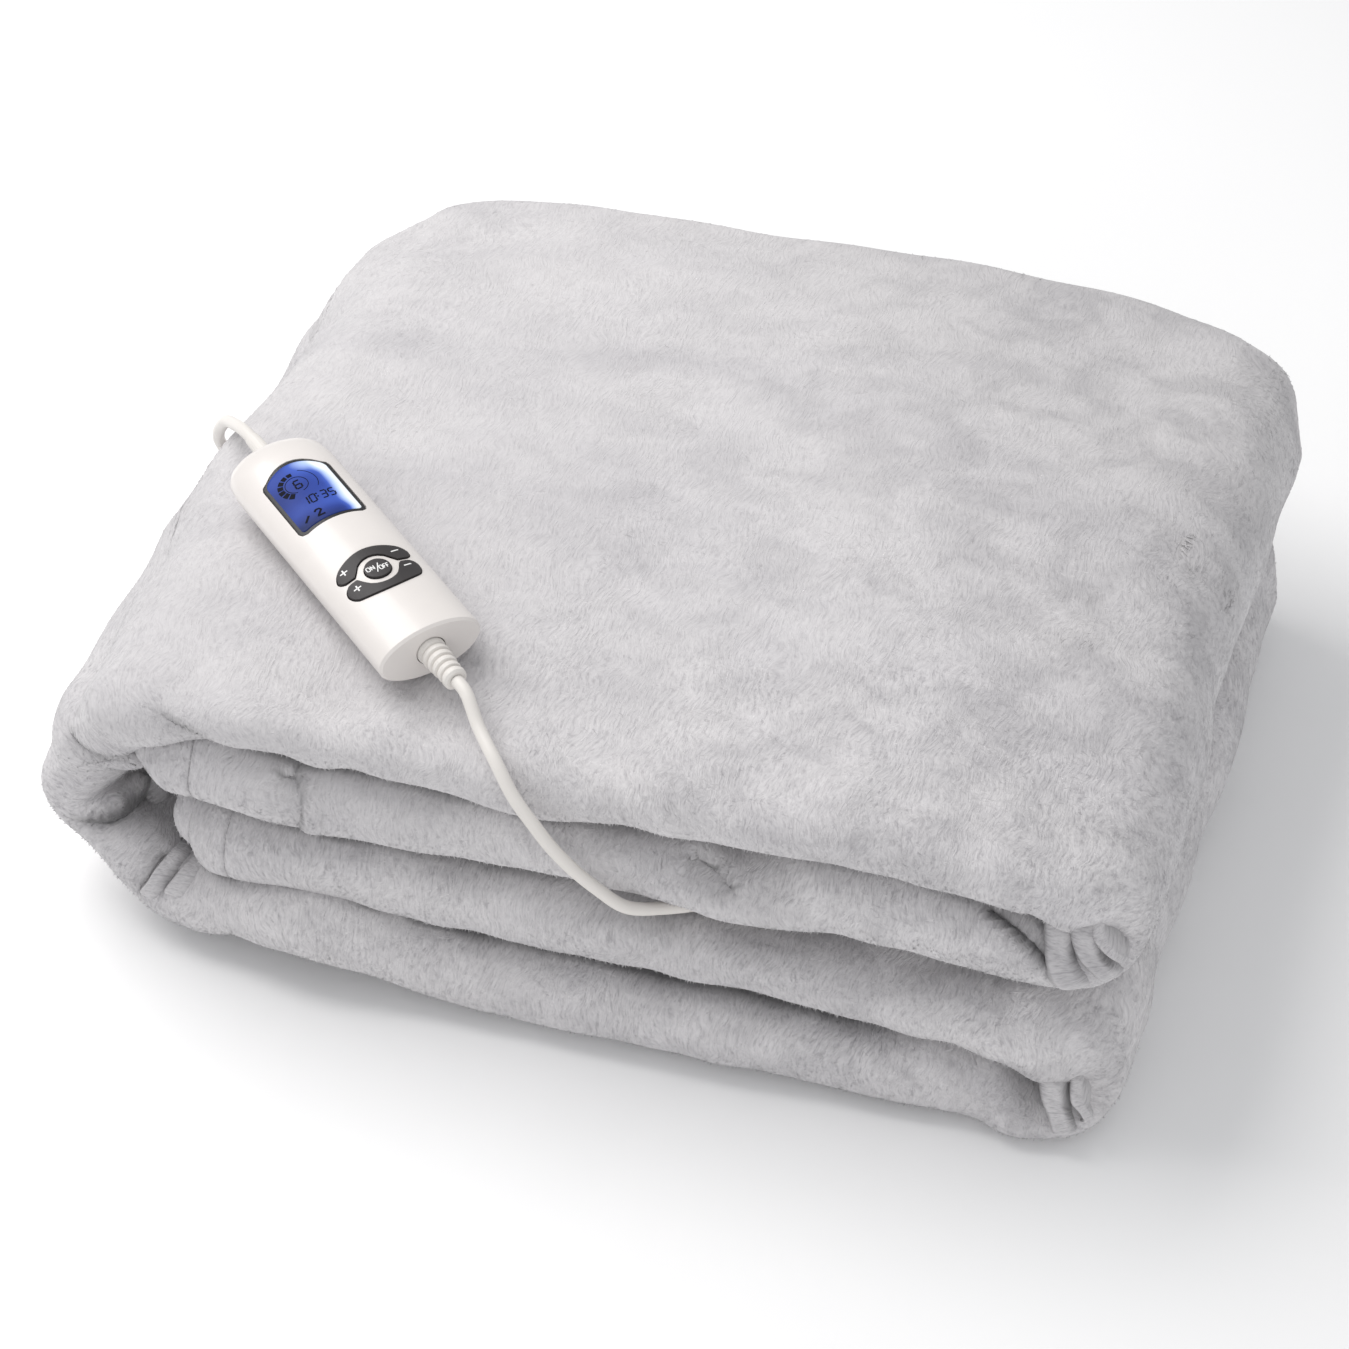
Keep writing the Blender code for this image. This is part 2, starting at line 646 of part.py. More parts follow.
def plug_rings(n=24):
    rows = [  # x along the plug, half width, half thickness
        (-0.0150, PLUG_TAIL * 0.32, 0.0032), (-0.0060, PLUG_TAIL * 0.38, 0.0038),
        (0.0000, PLUG_TAIL * 0.50, 0.0050), (0.0050, PLUG_WAIST * 0.42, 0.0060),
        (0.0120, PLUG_WAIST * 0.50, 0.0066), (0.0200, PLUG_W * 0.43, PLUG_T / 2),
        (0.0280, PLUG_W * 0.49, PLUG_T / 2), (0.0352, PLUG_W * 0.50, PLUG_T / 2),
        (PLUG_L, PLUG_W * 0.485, PLUG_T / 2 - 0.0006)]
    rings = []
    for x, w, h in rows:
        ring = []
        for k in range(n):
            a = 2 * math.pi * (k + 0.5) / n
            c, s = math.cos(a), math.sin(a)
            ring.append((x, w * math.copysign(abs(c) ** 0.5, c), h * math.copysign(abs(s) ** 0.5, s)))
        rings.append(ring)
    return rings


plug = loft("plug_body", plug_rings(), LEAD, matrix=PLUG)
for k, side in enumerate((1, -1), 1):
    at = PLUG @ Matrix.Translation((PLUG_L, side * PIN_SPAN / 2, 0)) @ Matrix.Rotation(math.radians(90), 4, "Y")
    r = PIN_D / 2
    turned("plug_pin_%d" % k, [(0.0, PIN_OUT), (r * 0.55, PIN_OUT - 0.0002), (r * 0.9, PIN_OUT - 0.0010),
                               (r, PIN_OUT - 0.0020), (r, -PIN_IN), (0.0, -PIN_IN)], METAL, at, steps=16)
    r += 0.0003
    hole = turned("pin_hole_%d" % k, [(0.0, 0.004), (r, 0.004), (r, -PIN_IN - 0.0003), (0.0, -PIN_IN - 0.0003)],
                  None, at, steps=24, coll=cutters)
    hole.hide_render = True
    hole.display_type = "WIRE"
    cut(plug, hole)

tail_end = tuple(PLUG @ Vector((-0.0153, 0, 0)))
tail_in = tuple(PLUG @ Vector((-0.0230, 0, -0.0010)))
LEAD_TAIL = [
    here(-0.0540, 0.1860, FLOOR_Z + 0.0002),
    here(-0.0380, 0.1895, FLOOR_Z + 0.0006),
    here(-0.0220, 0.1960, FLOOR_Z + 0.0014),
    tail_in,
    tail_end,
]
tube("lead_tail", route(LEAD_TAIL, 0.0090), CORD_D, LEAD)
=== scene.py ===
"""Folded electric heated blanket with its controller, leads and plug.

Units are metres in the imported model's own frame: +Z up, +X along the width,
-Y towards the front with the folded lips.
"""

import json
import math

import bmesh
import bpy
import numpy as np
from mathutils import Matrix, Vector
from mathutils.bvhtree import BVHTree
from mathutils.kdtree import KDTree


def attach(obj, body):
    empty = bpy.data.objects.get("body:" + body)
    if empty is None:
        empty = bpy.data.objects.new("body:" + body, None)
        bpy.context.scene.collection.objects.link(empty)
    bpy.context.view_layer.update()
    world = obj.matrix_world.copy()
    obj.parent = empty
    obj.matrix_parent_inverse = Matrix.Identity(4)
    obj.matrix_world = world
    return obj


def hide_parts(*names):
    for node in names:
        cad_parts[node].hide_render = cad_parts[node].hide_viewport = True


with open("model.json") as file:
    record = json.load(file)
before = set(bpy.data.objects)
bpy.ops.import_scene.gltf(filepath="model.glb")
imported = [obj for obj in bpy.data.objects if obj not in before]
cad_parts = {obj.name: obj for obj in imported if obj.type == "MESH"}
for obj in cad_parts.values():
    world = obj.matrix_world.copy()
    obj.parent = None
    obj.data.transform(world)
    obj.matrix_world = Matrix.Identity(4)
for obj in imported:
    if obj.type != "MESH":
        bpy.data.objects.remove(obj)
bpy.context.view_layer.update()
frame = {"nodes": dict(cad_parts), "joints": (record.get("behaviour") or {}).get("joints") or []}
NODES = frame["nodes"]
scene = bpy.context.scene
scene.view_settings.view_transform = "Standard"
scene.view_settings.look = "None"
TUFTS = 177000

# ------------------------------------------------------------ shared helpers


def link(ob, coll=None):
    (coll or scene.collection).objects.link(ob)
    return ob


def mesh_piece(name, verts, faces, mat=None, smooth=True, matrix=None):
    me = bpy.data.meshes.new(name)
    me.from_pydata([tuple(map(float, v)) for v in verts], [], [tuple(int(i) for i in f) for f in faces])
    me.validate()
    bm = bmesh.new()
    bm.from_mesh(me)
    bmesh.ops.recalc_face_normals(bm, faces=bm.faces)
    bm.to_mesh(me)
    bm.free()
    if matrix is not None:
        me.transform(matrix)
    if smooth:
        me.shade_smooth()
    ob = link(bpy.data.objects.new(name, me))
    if mat is not None:
        me.materials.append(mat)
    return ob


def big_mesh(name, verts, tris=None, quads=None, mat=None):
    """Mesh from arrays, for many faces."""
    verts = np.ascontiguousarray(verts, dtype=np.float32)
    tris = np.zeros((0, 3), int) if tris is None else np.asarray(tris)
    quads = np.zeros((0, 4), int) if quads is None else np.asarray(quads)
    me = bpy.data.meshes.new(name)
    me.vertices.add(len(verts))
    me.vertices.foreach_set("co", verts.ravel())
    loops = np.concatenate([quads.ravel(), tris.ravel()]).astype(np.int32)
    me.loops.add(len(loops))
    me.loops.foreach_set("vertex_index", loops)
    me.polygons.add(len(quads) + len(tris))
    starts = np.concatenate([np.arange(len(quads)) * 4, len(quads) * 4 + np.arange(len(tris)) * 3]).astype(np.int32)
    me.polygons.foreach_set("loop_start", starts)
    me.update(calc_edges=True)
    me.validate()
    me.shade_smooth()
    ob = link(bpy.data.objects.new(name, me))
    if mat is not None:
        me.materials.append(mat)
    return ob


class Waves:
    """A smooth random field: a sum of sine waves with seeded directions."""

    def __init__(self, seed, length, count=24, spread=0.5, stretch=(1, 1, 1)):
        rng = np.random.RandomState(seed)
        d = rng.normal(size=(count, 3))
        d /= np.linalg.norm(d, axis=1)[:, None]
        lam = length * np.exp(rng.uniform(-spread, spread, count))
        self.k = d / lam[:, None] * 2 * math.pi / np.array(stretch)
        self.p = rng.uniform(0, 2 * math.pi, count)
        self.n = math.sqrt(count / 2)

    def __call__(self, pts):
        pts = np.asarray(pts)
        shape = pts.shape[:-1]
        q = pts.reshape(-1, 3)
        out = np.zeros(len(q))
        for k, p in zip(self.k, self.p):
            out += np.sin(q @ k + p)
        return (out / self.n).reshape(shape)


def smoothstep(a, b, x):
    t = np.clip((np.asarray(x) - a) / (b - a), 0, 1)     # a may be above b
    return t * t * (3 - 2 * t)


# ---------------------------------------------------------------- materials


class Nodes:
    """Short way to write a material's nodes."""

    def __init__(self, name):
        self.m = bpy.data.materials.new(name)
        self.m.use_nodes = True
        self.t = self.m.node_tree
        self.bsdf = self.t.nodes["Principled BSDF"]
        self.out = self.t.nodes["Material Output"]

    def add(self, kind, **props):
        n = self.t.nodes.new(kind)
        inputs = props.pop("inputs", {})
        for k, v in props.items():
            setattr(n, k, v)
        for k, v in inputs.items():
            self.set(n.inputs[k], v)
        return n

    def set(self, socket, v):
        if isinstance(v, bpy.types.NodeSocket):
            self.t.links.new(v, socket)
        else:
            socket.default_value = v

    def coords(self, scale=(1, 1, 1), loc=(0, 0, 0), rot=(0, 0, 0)):
        c = self.add("ShaderNodeTexCoord")
        m = self.add("ShaderNodeMapping", inputs={"Vector": c.outputs["Object"], "Location": loc, "Rotation": rot, "Scale": scale})
        return m.outputs["Vector"]

    def noise(self, vec, scale, detail=3.0, rough=0.5, distort=0.0):
        n = self.add("ShaderNodeTexNoise", inputs={"Vector": vec, "Scale": scale, "Detail": detail, "Roughness": rough, "Distortion": distort})
        return n.outputs["Fac"]

    def ramp(self, fac, stops, mode="LINEAR"):
        r = self.add("ShaderNodeValToRGB", inputs={"Fac": fac})
        r.color_ramp.interpolation = mode
        e = r.color_ramp.elements
        while len(e) < len(stops):
            e.new(0.5)
        for q, (pos, col) in zip(e, stops):
            q.position = pos
            q.color = (*col, 1) if len(col) == 3 else col
        return r.outputs["Color"]

    def math(self, op, a, b=0.5, clamp=False):
        n = self.add("ShaderNodeMath", operation=op, use_clamp=clamp)
        self.set(n.inputs[0], a)
        self.set(n.inputs[1], b)
        return n.outputs[0]

    def mix(self, fac, a, b, mode="MIX"):
        n = self.add("ShaderNodeMix", data_type="RGBA", blend_type=mode)
        self.set(n.inputs["Factor"], fac)
        self.set(n.inputs["A"], a)
        self.set(n.inputs["B"], b)
        return n.outputs["Result"]

    def bump(self, height, distance, strength=1.0, normal=None):
        n = self.add("ShaderNodeBump", inputs={"Height": height, "Distance": distance, "Strength": strength})
        if normal is not None:
            self.set(n.inputs["Normal"], normal)
        return n.outputs["Normal"]

    def surface(self, **values):
        for k, v in values.items():
            self.set(self.bsdf.inputs[k], v)
        return self.m


def fleece_material(name, light=1.0):
    """Short brushed pile. Its streaks follow the cloth's own lengths, and a painted shade makes its hollows and creases
    darker."""
    n = Nodes(name)
    v = n.coords()
    cloth = n.add("ShaderNodeAttribute", attribute_type="GEOMETRY", attribute_name="cloth").outputs["Vector"]
    # painted shade: how dark the hollows, creases and places under the lips are painted
    hollow_shade = n.add("ShaderNodeAttribute", attribute_type="GEOMETRY", attribute_name="hollow_shade").outputs["Fac"]
    # nap brushed one way or the other: soft patches
    long = n.coords(scale=(0.55, 1.25, 1.1), rot=(0, 0, math.radians(12)))
    broad = n.noise(long, 9.0, 3.0, 0.55, 0.6)
    patch = n.noise(long, 34.0, 4.0, 0.6, 0.9)
    nap = n.math("ADD", n.math("MULTIPLY", broad, 0.62), n.math("MULTIPLY", patch, 0.38))
    tone = n.ramp(nap, [(0.34, (0.545 * light, 0.531 * light, 0.543 * light)), (0.47, (0.590 * light, 0.575 * light, 0.584 * light)),
                        (0.60, (0.622 * light, 0.606 * light, 0.612 * light))])
    # strands, turned this way and that by a slow noise
    bend = n.add("ShaderNodeTexNoise", inputs={"Vector": cloth, "Scale": 42.0, "Detail": 2.0})
    off = n.add("ShaderNodeVectorMath", operation="SUBTRACT")
    n.set(off.inputs[0], bend.outputs["Color"])
    off.inputs[1].default_value = (0.5, 0.5, 0.5)
    push = n.add("ShaderNodeVectorMath", operation="MULTIPLY")
    n.set(push.inputs[0], off.outputs["Vector"])
    push.inputs[1].default_value = (0.016, 0.012, 0.0)
    bent = n.add("ShaderNodeVectorMath", operation="ADD")
    n.set(bent.inputs[0], cloth)
    n.set(bent.inputs[1], push.outputs["Vector"])
    bent = bent.outputs["Vector"]

    def streaks(scale, ratio, detail):
        m = n.add("ShaderNodeMapping", inputs={"Vector": bent, "Scale": (1.0, ratio, 1.0)})
        return n.noise(m.outputs["Vector"], scale, detail, 0.6, 0.15)

    f1 = streaks(880.0, 0.24, 2.0)
    f2 = streaks(1900.0, 0.35, 1.0)
    fleck = n.math("ADD", n.math("MULTIPLY", f1, 0.62), n.math("MULTIPLY", f2, 0.38))
    shade = n.ramp(fleck, [(0.34, (0.66, 0.655, 0.67)), (0.47, (0.90, 0.90, 0.905)), (0.60, (1.04, 1.04, 1.04))])
    # the nap shows most on the lips and towards the right front, least on the top's back
    xyz = n.add("ShaderNodeSeparateXYZ", inputs={"Vector": v})
    toward = n.math("SUBTRACT", n.math("MULTIPLY", xyz.outputs["X"], 0.45), xyz.outputs["Y"])
    front_part = n.math("ADD", n.math("MULTIPLY", toward, 2.4), 0.40)
    low_part = n.math("ADD", n.math("MULTIPLY", xyz.outputs["Z"], -9.0), 1.55)
    much = n.math("MINIMUM", n.math("MAXIMUM", n.math("MAXIMUM", front_part, low_part), 0.20), 0.95)
    much = n.math("MULTIPLY", much, n.math("ADD", n.math("MULTIPLY", n.noise(cloth, 26.0, 2.0), 1.3), 0.30))
    col = n.mix(much, tone, shade, "MULTIPLY")
    # the top is mottled, and a painted shade makes it darker towards its right and back, where the light falls off
    mott = n.ramp(n.noise(n.coords(scale=(1, 1.2, 1), rot=(0, 0, 0.5)), 40.0, 3.0, 0.55, 0.5),
                  [(0.40, (0.885, 0.885, 0.89)), (0.50, (0.985, 0.985, 0.985)), (0.60, (1.06, 1.06, 1.06))])
    spread = n.math("MULTIPLY", n.math("ADD", xyz.outputs["X"], 0.16), 3.2)
    col = n.mix(n.math("MINIMUM", n.math("MAXIMUM", spread, 0.25), 0.95), col, n.mix(1.0, col, mott, "MULTIPLY"))
    # painted shade: the top's right and back darker, as the light falls off towards them
    right = n.math("MULTIPLY", n.math("ADD", n.math("ADD", xyz.outputs["X"], n.math("MULTIPLY", xyz.outputs["Y"], 0.75)), -0.03), 6.0)
    high = n.math("MULTIPLY", n.math("ADD", xyz.outputs["Z"], -0.100), 50.0, True)
    falloff_shade = n.math("SUBTRACT", 1.0, n.math("MULTIPLY", n.math("MULTIPLY", n.math("MINIMUM", n.math("MAXIMUM", right, 0.0), 1.0), high), 0.12))
    col = n.mix(1.0, col, falloff_shade, "MULTIPLY")
    # painted shade in the hollows, the creases and under the lips darkens the colour
    dark = n.math("SUBTRACT", 1.0, n.math("MULTIPLY", hollow_shade, 0.70))
    col = n.mix(1.0, col, dark, "MULTIPLY")
    nrm = n.bump(f1, 0.0008, 0.7, n.bump(n.noise(v, 150.0, 3.0, 0.55), 0.0009, 0.4))
    return n.surface(**{"Base Color": col, "Roughness": 0.95, "Normal": nrm, "Sheen Weight": 0.35,
                        "Sheen Roughness": 0.45, "Specular IOR Level": 0.15})


def plastic_material(name, color, rough, vary=0.03, bump=0.00004, coat=0.0, spec=0.5):
    n = Nodes(name)
    v = n.coords()
    a = n.noise(v, 60.0, 4.0, 0.6)
    lo = tuple(c * (1 - vary) for c in color)
    col = n.ramp(a, [(0.3, lo), (0.7, color)])
    r = n.math("ADD", n.math("MULTIPLY", n.noise(v, 240.0, 3.0), 0.10), rough - 0.05)
    nrm = n.bump(n.noise(v, 1500.0, 2.0), bump, 0.5)
    return n.surface(**{"Base Color": col, "Roughness": r, "Normal": nrm, "Coat Weight": coat,
                        "Coat Roughness": 0.12, "Specular IOR Level": spec})


FLEECE = fleece_material("fleece")
HOUSING = plastic_material("housing", (0.735, 0.698, 0.672), 0.34, coat=0.22)
END_CAP = plastic_material("end_cap", (0.80, 0.78, 0.75), 0.42)
LEAD = plastic_material("lead", (0.745, 0.715, 0.680), 0.45)
KEY = plastic_material("key", (0.036, 0.032, 0.033), 0.50, vary=0.25, coat=0.06, spec=0.35)
MARK = plastic_material("mark", (0.86, 0.86, 0.85), 0.5)
METAL = plastic_material("metal", (0.80, 0.76, 0.66), 0.28)
METAL.node_tree.nodes["Principled BSDF"].inputs["Metallic"].default_value = 1.0

# --------------------------------------------------------- camera and lights


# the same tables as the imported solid's
GAP = 0.0015
LIP = 1.15
CROWN = 0.0120
CROWN_X, CROWN_Y = 0.205, 0.180
CROWN_BACK = 0.020
LAYERS = [
    (-0.130, 0.0330, 0.0650, 0.0965, 0.1195),
    (-0.090, 0.0335, 0.0645, 0.0970, 0.1205),
    (-0.030, 0.0320, 0.0650, 0.0970, 0.1215),
    (0.030, 0.0320, 0.0650, 0.0985, 0.1230),
    (0.090, 0.0330, 0.0645, 0.1015, 0.1255),
    (0.140, 0.0305, 0.0620, 0.1015, 0.1260),
]
LIFT = {-0.130: 0.0075, -0.090: 0.0040}
EDGES = {
    "bottom": (-0.165, 0.162),
    "third": (-0.159, 0.161),
    "second": (-0.160, 0.161),
    "top": (-0.161, 0.167),
}
WRAP = [
    (-0.1480, 0.1040, 0.0290, -0.1590, 0.1590),
    (-0.1690, 0.0915, 0.0320, -0.1540, 0.1450),
    (-0.1808, 0.0625, 0.0345, -0.1450, 0.1330),
    (-0.1755, 0.0385, 0.0330, -0.1490, 0.1390),
    (-0.1530, 0.0235, 0.0300, -0.1570, 0.1500),
]
TURN_UPPER_X = 0.1660
TURN_LOWER_X = 0.1675
TURN = [
    (-90, 0.000, 1.00),
    (-45, 0.004, 0.96),
    (0, 0.013, 0.90),
    (45, 0.004, 0.96),
    (90, 0.000, 1.00),
]
SLIP_X, SLIP_Y = 0.044, -0.122
SLIP_RISE, SLIP_WIDE, SLIP_DEEP = 0.0048, 0.048, 0.022
MID = (0.00022025218633404953, 0.0008144007553598093)


def here(x, y, z):
    return (x - MID[0], y - MID[1], z)


CAM_AZ, CAM_EL, CAM_DIST = 17.4, 41.0, 1.303
TARGET = Vector((0.0018 - MID[0], -0.029 - MID[1], 0.06))
ca, ce = math.radians(CAM_AZ), math.radians(CAM_EL)
back_way = Vector((math.sin(ca) * math.cos(ce), -math.cos(ca) * math.cos(ce), math.sin(ce)))
cam_data = bpy.data.cameras.new("camera")
cam_data.sensor_width = 36.0
cam_data.lens = 3600.0 / 1349.0 * 36.0
cam_data.clip_start, cam_data.clip_end = 0.05, 50
camera = link(bpy.data.objects.new("camera", cam_data))
camera.location = TARGET + back_way * CAM_DIST
camera.rotation_euler = (-back_way).to_track_quat("-Z", "Y").to_euler()
scene.camera = camera

floor_mat = Nodes("floor")
floor_mat.surface(**{"Base Color": floor_mat.ramp(floor_mat.noise(floor_mat.coords(), 3.0), [(0.3, (0.965, 0.965, 0.965)), (0.7, (0.98, 0.98, 0.98))]),
                     "Roughness": 0.9, "Specular IOR Level": 0.0})
floor = mesh_piece("floor", [(-6, -6, 0), (6, -6, 0), (6, 6, 0), (-6, 6, 0)], [(0, 1, 2, 3)], floor_mat.m, smooth=False)

world = bpy.data.worlds.new("world")
scene.world = world
world.use_nodes = True
world.node_tree.nodes["Background"].inputs["Color"].default_value = (0.97, 0.98, 1.0, 1)
world.node_tree.nodes["Background"].inputs["Strength"].default_value = 0.59


def area(name, at, to, size, power, color=(1, 1, 1)):
    d = bpy.data.lights.new(name, "AREA")
    d.shape = "RECTANGLE"
    d.size, d.size_y = size
    d.energy = power
    d.color = color
    ob = link(bpy.data.objects.new(name, d))
    ob.location = at
    ob.rotation_euler = (Vector(to) - Vector(at)).to_track_quat("-Z", "Y").to_euler()
    return ob


area("top_light", (-0.66, 0.10, 1.10), (0, 0, 0.05), (1.0, 1.0), 12.0, (1.0, 0.985, 0.97))
area("front_light", (0.9, -1.9, 0.7), (0, 0, 0.08), (1.4, 1.0), 8)

# --------------------------------------------------------------- the frame's own axes
JOINTS = {j["name"]: j for j in frame["joints"]}
CTL_L, CTL_W, CTL_T = 0.1240, 0.0382, 0.0205
CTL_NOSE = 0.015
PAD_X = 0.0264


def controller_frame():
    x = Vector(JOINTS["upper_rock"]["axis"]).normalized()
    z = Vector(JOINTS["power_press"]["axis"]).normalized()
    y = z.cross(x).normalized()
    m = Matrix((x, y, z)).transposed().to_4x4()
    m.translation = Vector(JOINTS["upper_rock"]["pos_m"]) - (x * PAD_X + z * 0.0068)
    return m


CTL = controller_frame()
NEAR_X, FAR_X = CTL_L / 2, -CTL_L / 2


def on_controller(x, z=0.0, y=0.0):
    return tuple(CTL @ Vector((x, y, z)))


# -------------------------------------------------------------------- leads
CORD_D = 0.0046
FLOOR_Z = CORD_D / 2 + 0.0002
RELIEF_NEAR = dict(inside=0.0060, base=0.0052, tip=0.0042, ribs=4, pitch=0.0030, first=0.0022, collar=0.0034)
RELIEF_FAR = dict(inside=0.0095, base=0.0034, tip=0.0027, out=0.0115)
PLUG_AT, PLUG_TURN = (0.0300, 0.2060), 4.0
PLUG_L, PLUG_W, PLUG_T = 0.0360, 0.0350, 0.0137
PLUG = Matrix.Translation(here(*PLUG_AT, PLUG_T / 2 + 0.0002)) @ Matrix.Rotation(math.radians(PLUG_TURN), 4, "Z")


def route(points, step):
    """Points a step apart on a smooth curve through the route's own points."""
    p = np.array(points, float)
    n = len(p)
    d = np.linalg.norm(np.diff(p, axis=0), axis=1)
    t = np.concatenate([[0], np.cumsum(d ** 0.7)])
    m = np.zeros_like(p)
    m[0] = (p[1] - p[0]) / (t[1] - t[0])
    m[-1] = (p[-1] - p[-2]) / (t[-1] - t[-2])
    for i in range(1, n - 1):
        a, b = t[i] - t[i - 1], t[i + 1] - t[i]
        m[i] = ((p[i] - p[i - 1]) / a * b + (p[i + 1] - p[i]) / b * a) / (a + b)
    fine = []
    for i in range(n - 1):
        h = t[i + 1] - t[i]
        for u in np.linspace(0, 1, 40, endpoint=False):
            fine.append((2 * u**3 - 3 * u**2 + 1) * p[i] + (u**3 - 2 * u**2 + u) * h * m[i]
                        + (3 * u**2 - 2 * u**3) * p[i + 1] + (u**3 - u**2) * h * m[i + 1])
    fine.append(p[-1])
    fine = np.array(fine)
    s = np.concatenate([[0], np.cumsum(np.linalg.norm(np.diff(fine, axis=0), axis=1))])
    k = max(2, int(round(s[-1] / step)) + 1)
    return np.stack([np.interp(np.linspace(0, s[-1], k), s, fine[:, c]) for c in range(3)], -1)


def lead_curve(name, pts, diameter, mat):
    cu = bpy.data.curves.new(name, "CURVE")
    cu.dimensions = "3D"
    cu.bevel_depth = diameter / 2
    cu.bevel_resolution = 5
    cu.use_fill_caps = True
    cu.resolution_u = 1
    sp = cu.splines.new("POLY")
    sp.points.add(len(pts) - 1)
    sp.use_smooth = True
    for q, p in zip(sp.points, pts):
        q.co = (*map(float, p), 1.0)
    cu.materials.append(mat)
    return link(bpy.data.objects.new(name, cu))


def path_length(pts):
    return float(np.linalg.norm(np.diff(np.array(pts), axis=0), axis=1).sum())


tip_near = NEAR_X + RELIEF_NEAR["first"] + RELIEF_NEAR["ribs"] * RELIEF_NEAR["pitch"] + RELIEF_NEAR["collar"]
SHORT = [
    on_controller(tip_near + 0.0003),
    on_controller(tip_near + 0.0060, -0.0004),
    here(-0.0275, -0.1503, 0.1310),
    here(-0.0175, -0.1608, 0.1260),
    here(-0.0099, -0.1660, 0.1175),
    here(-0.0028, -0.1684, 0.1100),
    here(0.0034, -0.1692, 0.1022),
    here(0.0105, -0.1688, 0.0940),
    here(0.0180, -0.1666, 0.0852),
    here(0.0268, -0.1622, 0.0750),
    here(0.0368, -0.1530, 0.0688),
    here(0.0490, -0.1437, 0.0660),
    here(0.0610, -0.1350, 0.0652),
    here(0.0720, -0.1270, 0.0652),
]
tip_far = FAR_X + 0.0004 - RELIEF_FAR["out"]
LONG = [
    on_controller(tip_far - 0.0003),
    on_controller(tip_far - 0.0060, -0.0006),
    here(-0.1700, -0.0170, 0.1262),
    here(-0.1785, -0.0040, 0.1160),
    here(-0.1862, 0.0080, 0.1044),
    here(-0.1937, 0.0190, 0.0915),
    here(-0.1992, 0.0295, 0.0783),
    here(-0.2016, 0.0395, 0.0652),
    here(-0.2011, 0.0500, 0.0520),
    here(-0.1987, 0.0620, 0.0380),
    here(-0.1950, 0.0760, 0.0240),
    here(-0.1925, 0.0910, 0.0115),
    here(-0.1900, 0.1080, 0.0042),
    here(-0.1880, 0.1260, FLOOR_Z),
    here(-0.1850, 0.1480, FLOOR_Z),
    here(-0.1720, 0.1720, FLOOR_Z),
    here(-0.1480, 0.1850, FLOOR_Z),
    here(-0.1220, 0.1860, FLOOR_Z),
    here(-0.1010, 0.1848, FLOOR_Z),
]
COIL_AT = (-0.080, 0.2160)
COIL_R = 0.0270
TAIL = [
    here(-0.0540, 0.1860, FLOOR_Z + 0.0002),
    here(-0.0380, 0.1895, FLOOR_Z + 0.0006),
    here(-0.0220, 0.1960, FLOOR_Z + 0.0014),
    tuple(PLUG @ Vector((-0.0230, 0, -0.0010))),
    tuple(PLUG @ Vector((-0.0153, 0, 0))),
]


def coil_turns():
    """The wound part: turn by turn, radius and height, from its start to its end."""
    pitch, rise = 0.00466, 0.0045
    low = CORD_D / 2 + 0.0003
    turns = [(COIL_R + pitch, low), (COIL_R, low), (COIL_R - pitch, low),
             (COIL_R - pitch, low + rise), (COIL_R, low + rise), (COIL_R + pitch, low + rise),
             (COIL_R + pitch * 0.62, low + 2 * rise - 0.0003), (COIL_R - pitch * 0.40, low + 2 * rise - 0.0003)]
    start, per = -124.0, 26
    out = []
    for k, (r, z) in enumerate(turns):
        nr, nz = turns[k + 1] if k + 1 < len(turns) else turns[k]
        for j in range(per):
            u = j / per
            e = float(smoothstep(0.78, 1.0, u))
            rr, zz = r + (nr - r) * e, z + (nz - z) * e
            if k == 0:
                rr += (0.0375 - r) * (1 - float(smoothstep(0.0, 0.12, u)))
            w = math.radians(start + 360.0 * (k + u))
            out.append((rr, zz, w))
    # the last turn leaves the coil over its outer side
    r, z = turns[-1]
    for w, rr, zz in ((-112, r + 0.0030, z), (-96, r + 0.0075, z - 0.0004), (-82, r + 0.0115, z - 0.0030), (-66, r + 0.0140, z - 0.0068)):
        out.append((rr, zz, math.radians(w + 360.0 * len(turns))))
    cx, cy, _ = here(*COIL_AT, 0)
    return [(cx + r * math.cos(w), cy + r * math.sin(w), z) for r, z, w in out]


short_pts = route(SHORT, 0.0025)
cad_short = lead_curve("short_lead", short_pts, CORD_D, LEAD)
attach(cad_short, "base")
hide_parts("lead_blanket")

mains_pts = np.concatenate([route(LONG, 0.0030)[:-1], np.array(coil_turns())[1:], route(TAIL, 0.0030)])
# ease the joins between the laid part, the turns and the tail
for _ in range(6):
    mid = (mains_pts[:-2] + mains_pts[2:]) / 2
    keep = np.ones((len(mains_pts) - 2, 1))
    keep[6:-6] = 0.7
    mains_pts[1:-1] = mains_pts[1:-1] * keep + mid * (1 - keep)
mains_lead = lead_curve("mains_lead", mains_pts, CORD_D, LEAD)
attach(mains_lead, "base")
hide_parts("lead_mains", "lead_coil", "lead_tail")

# ------------------------------------------------------------------ blanket
PLY = 0.0025            # half the thickness of one ply


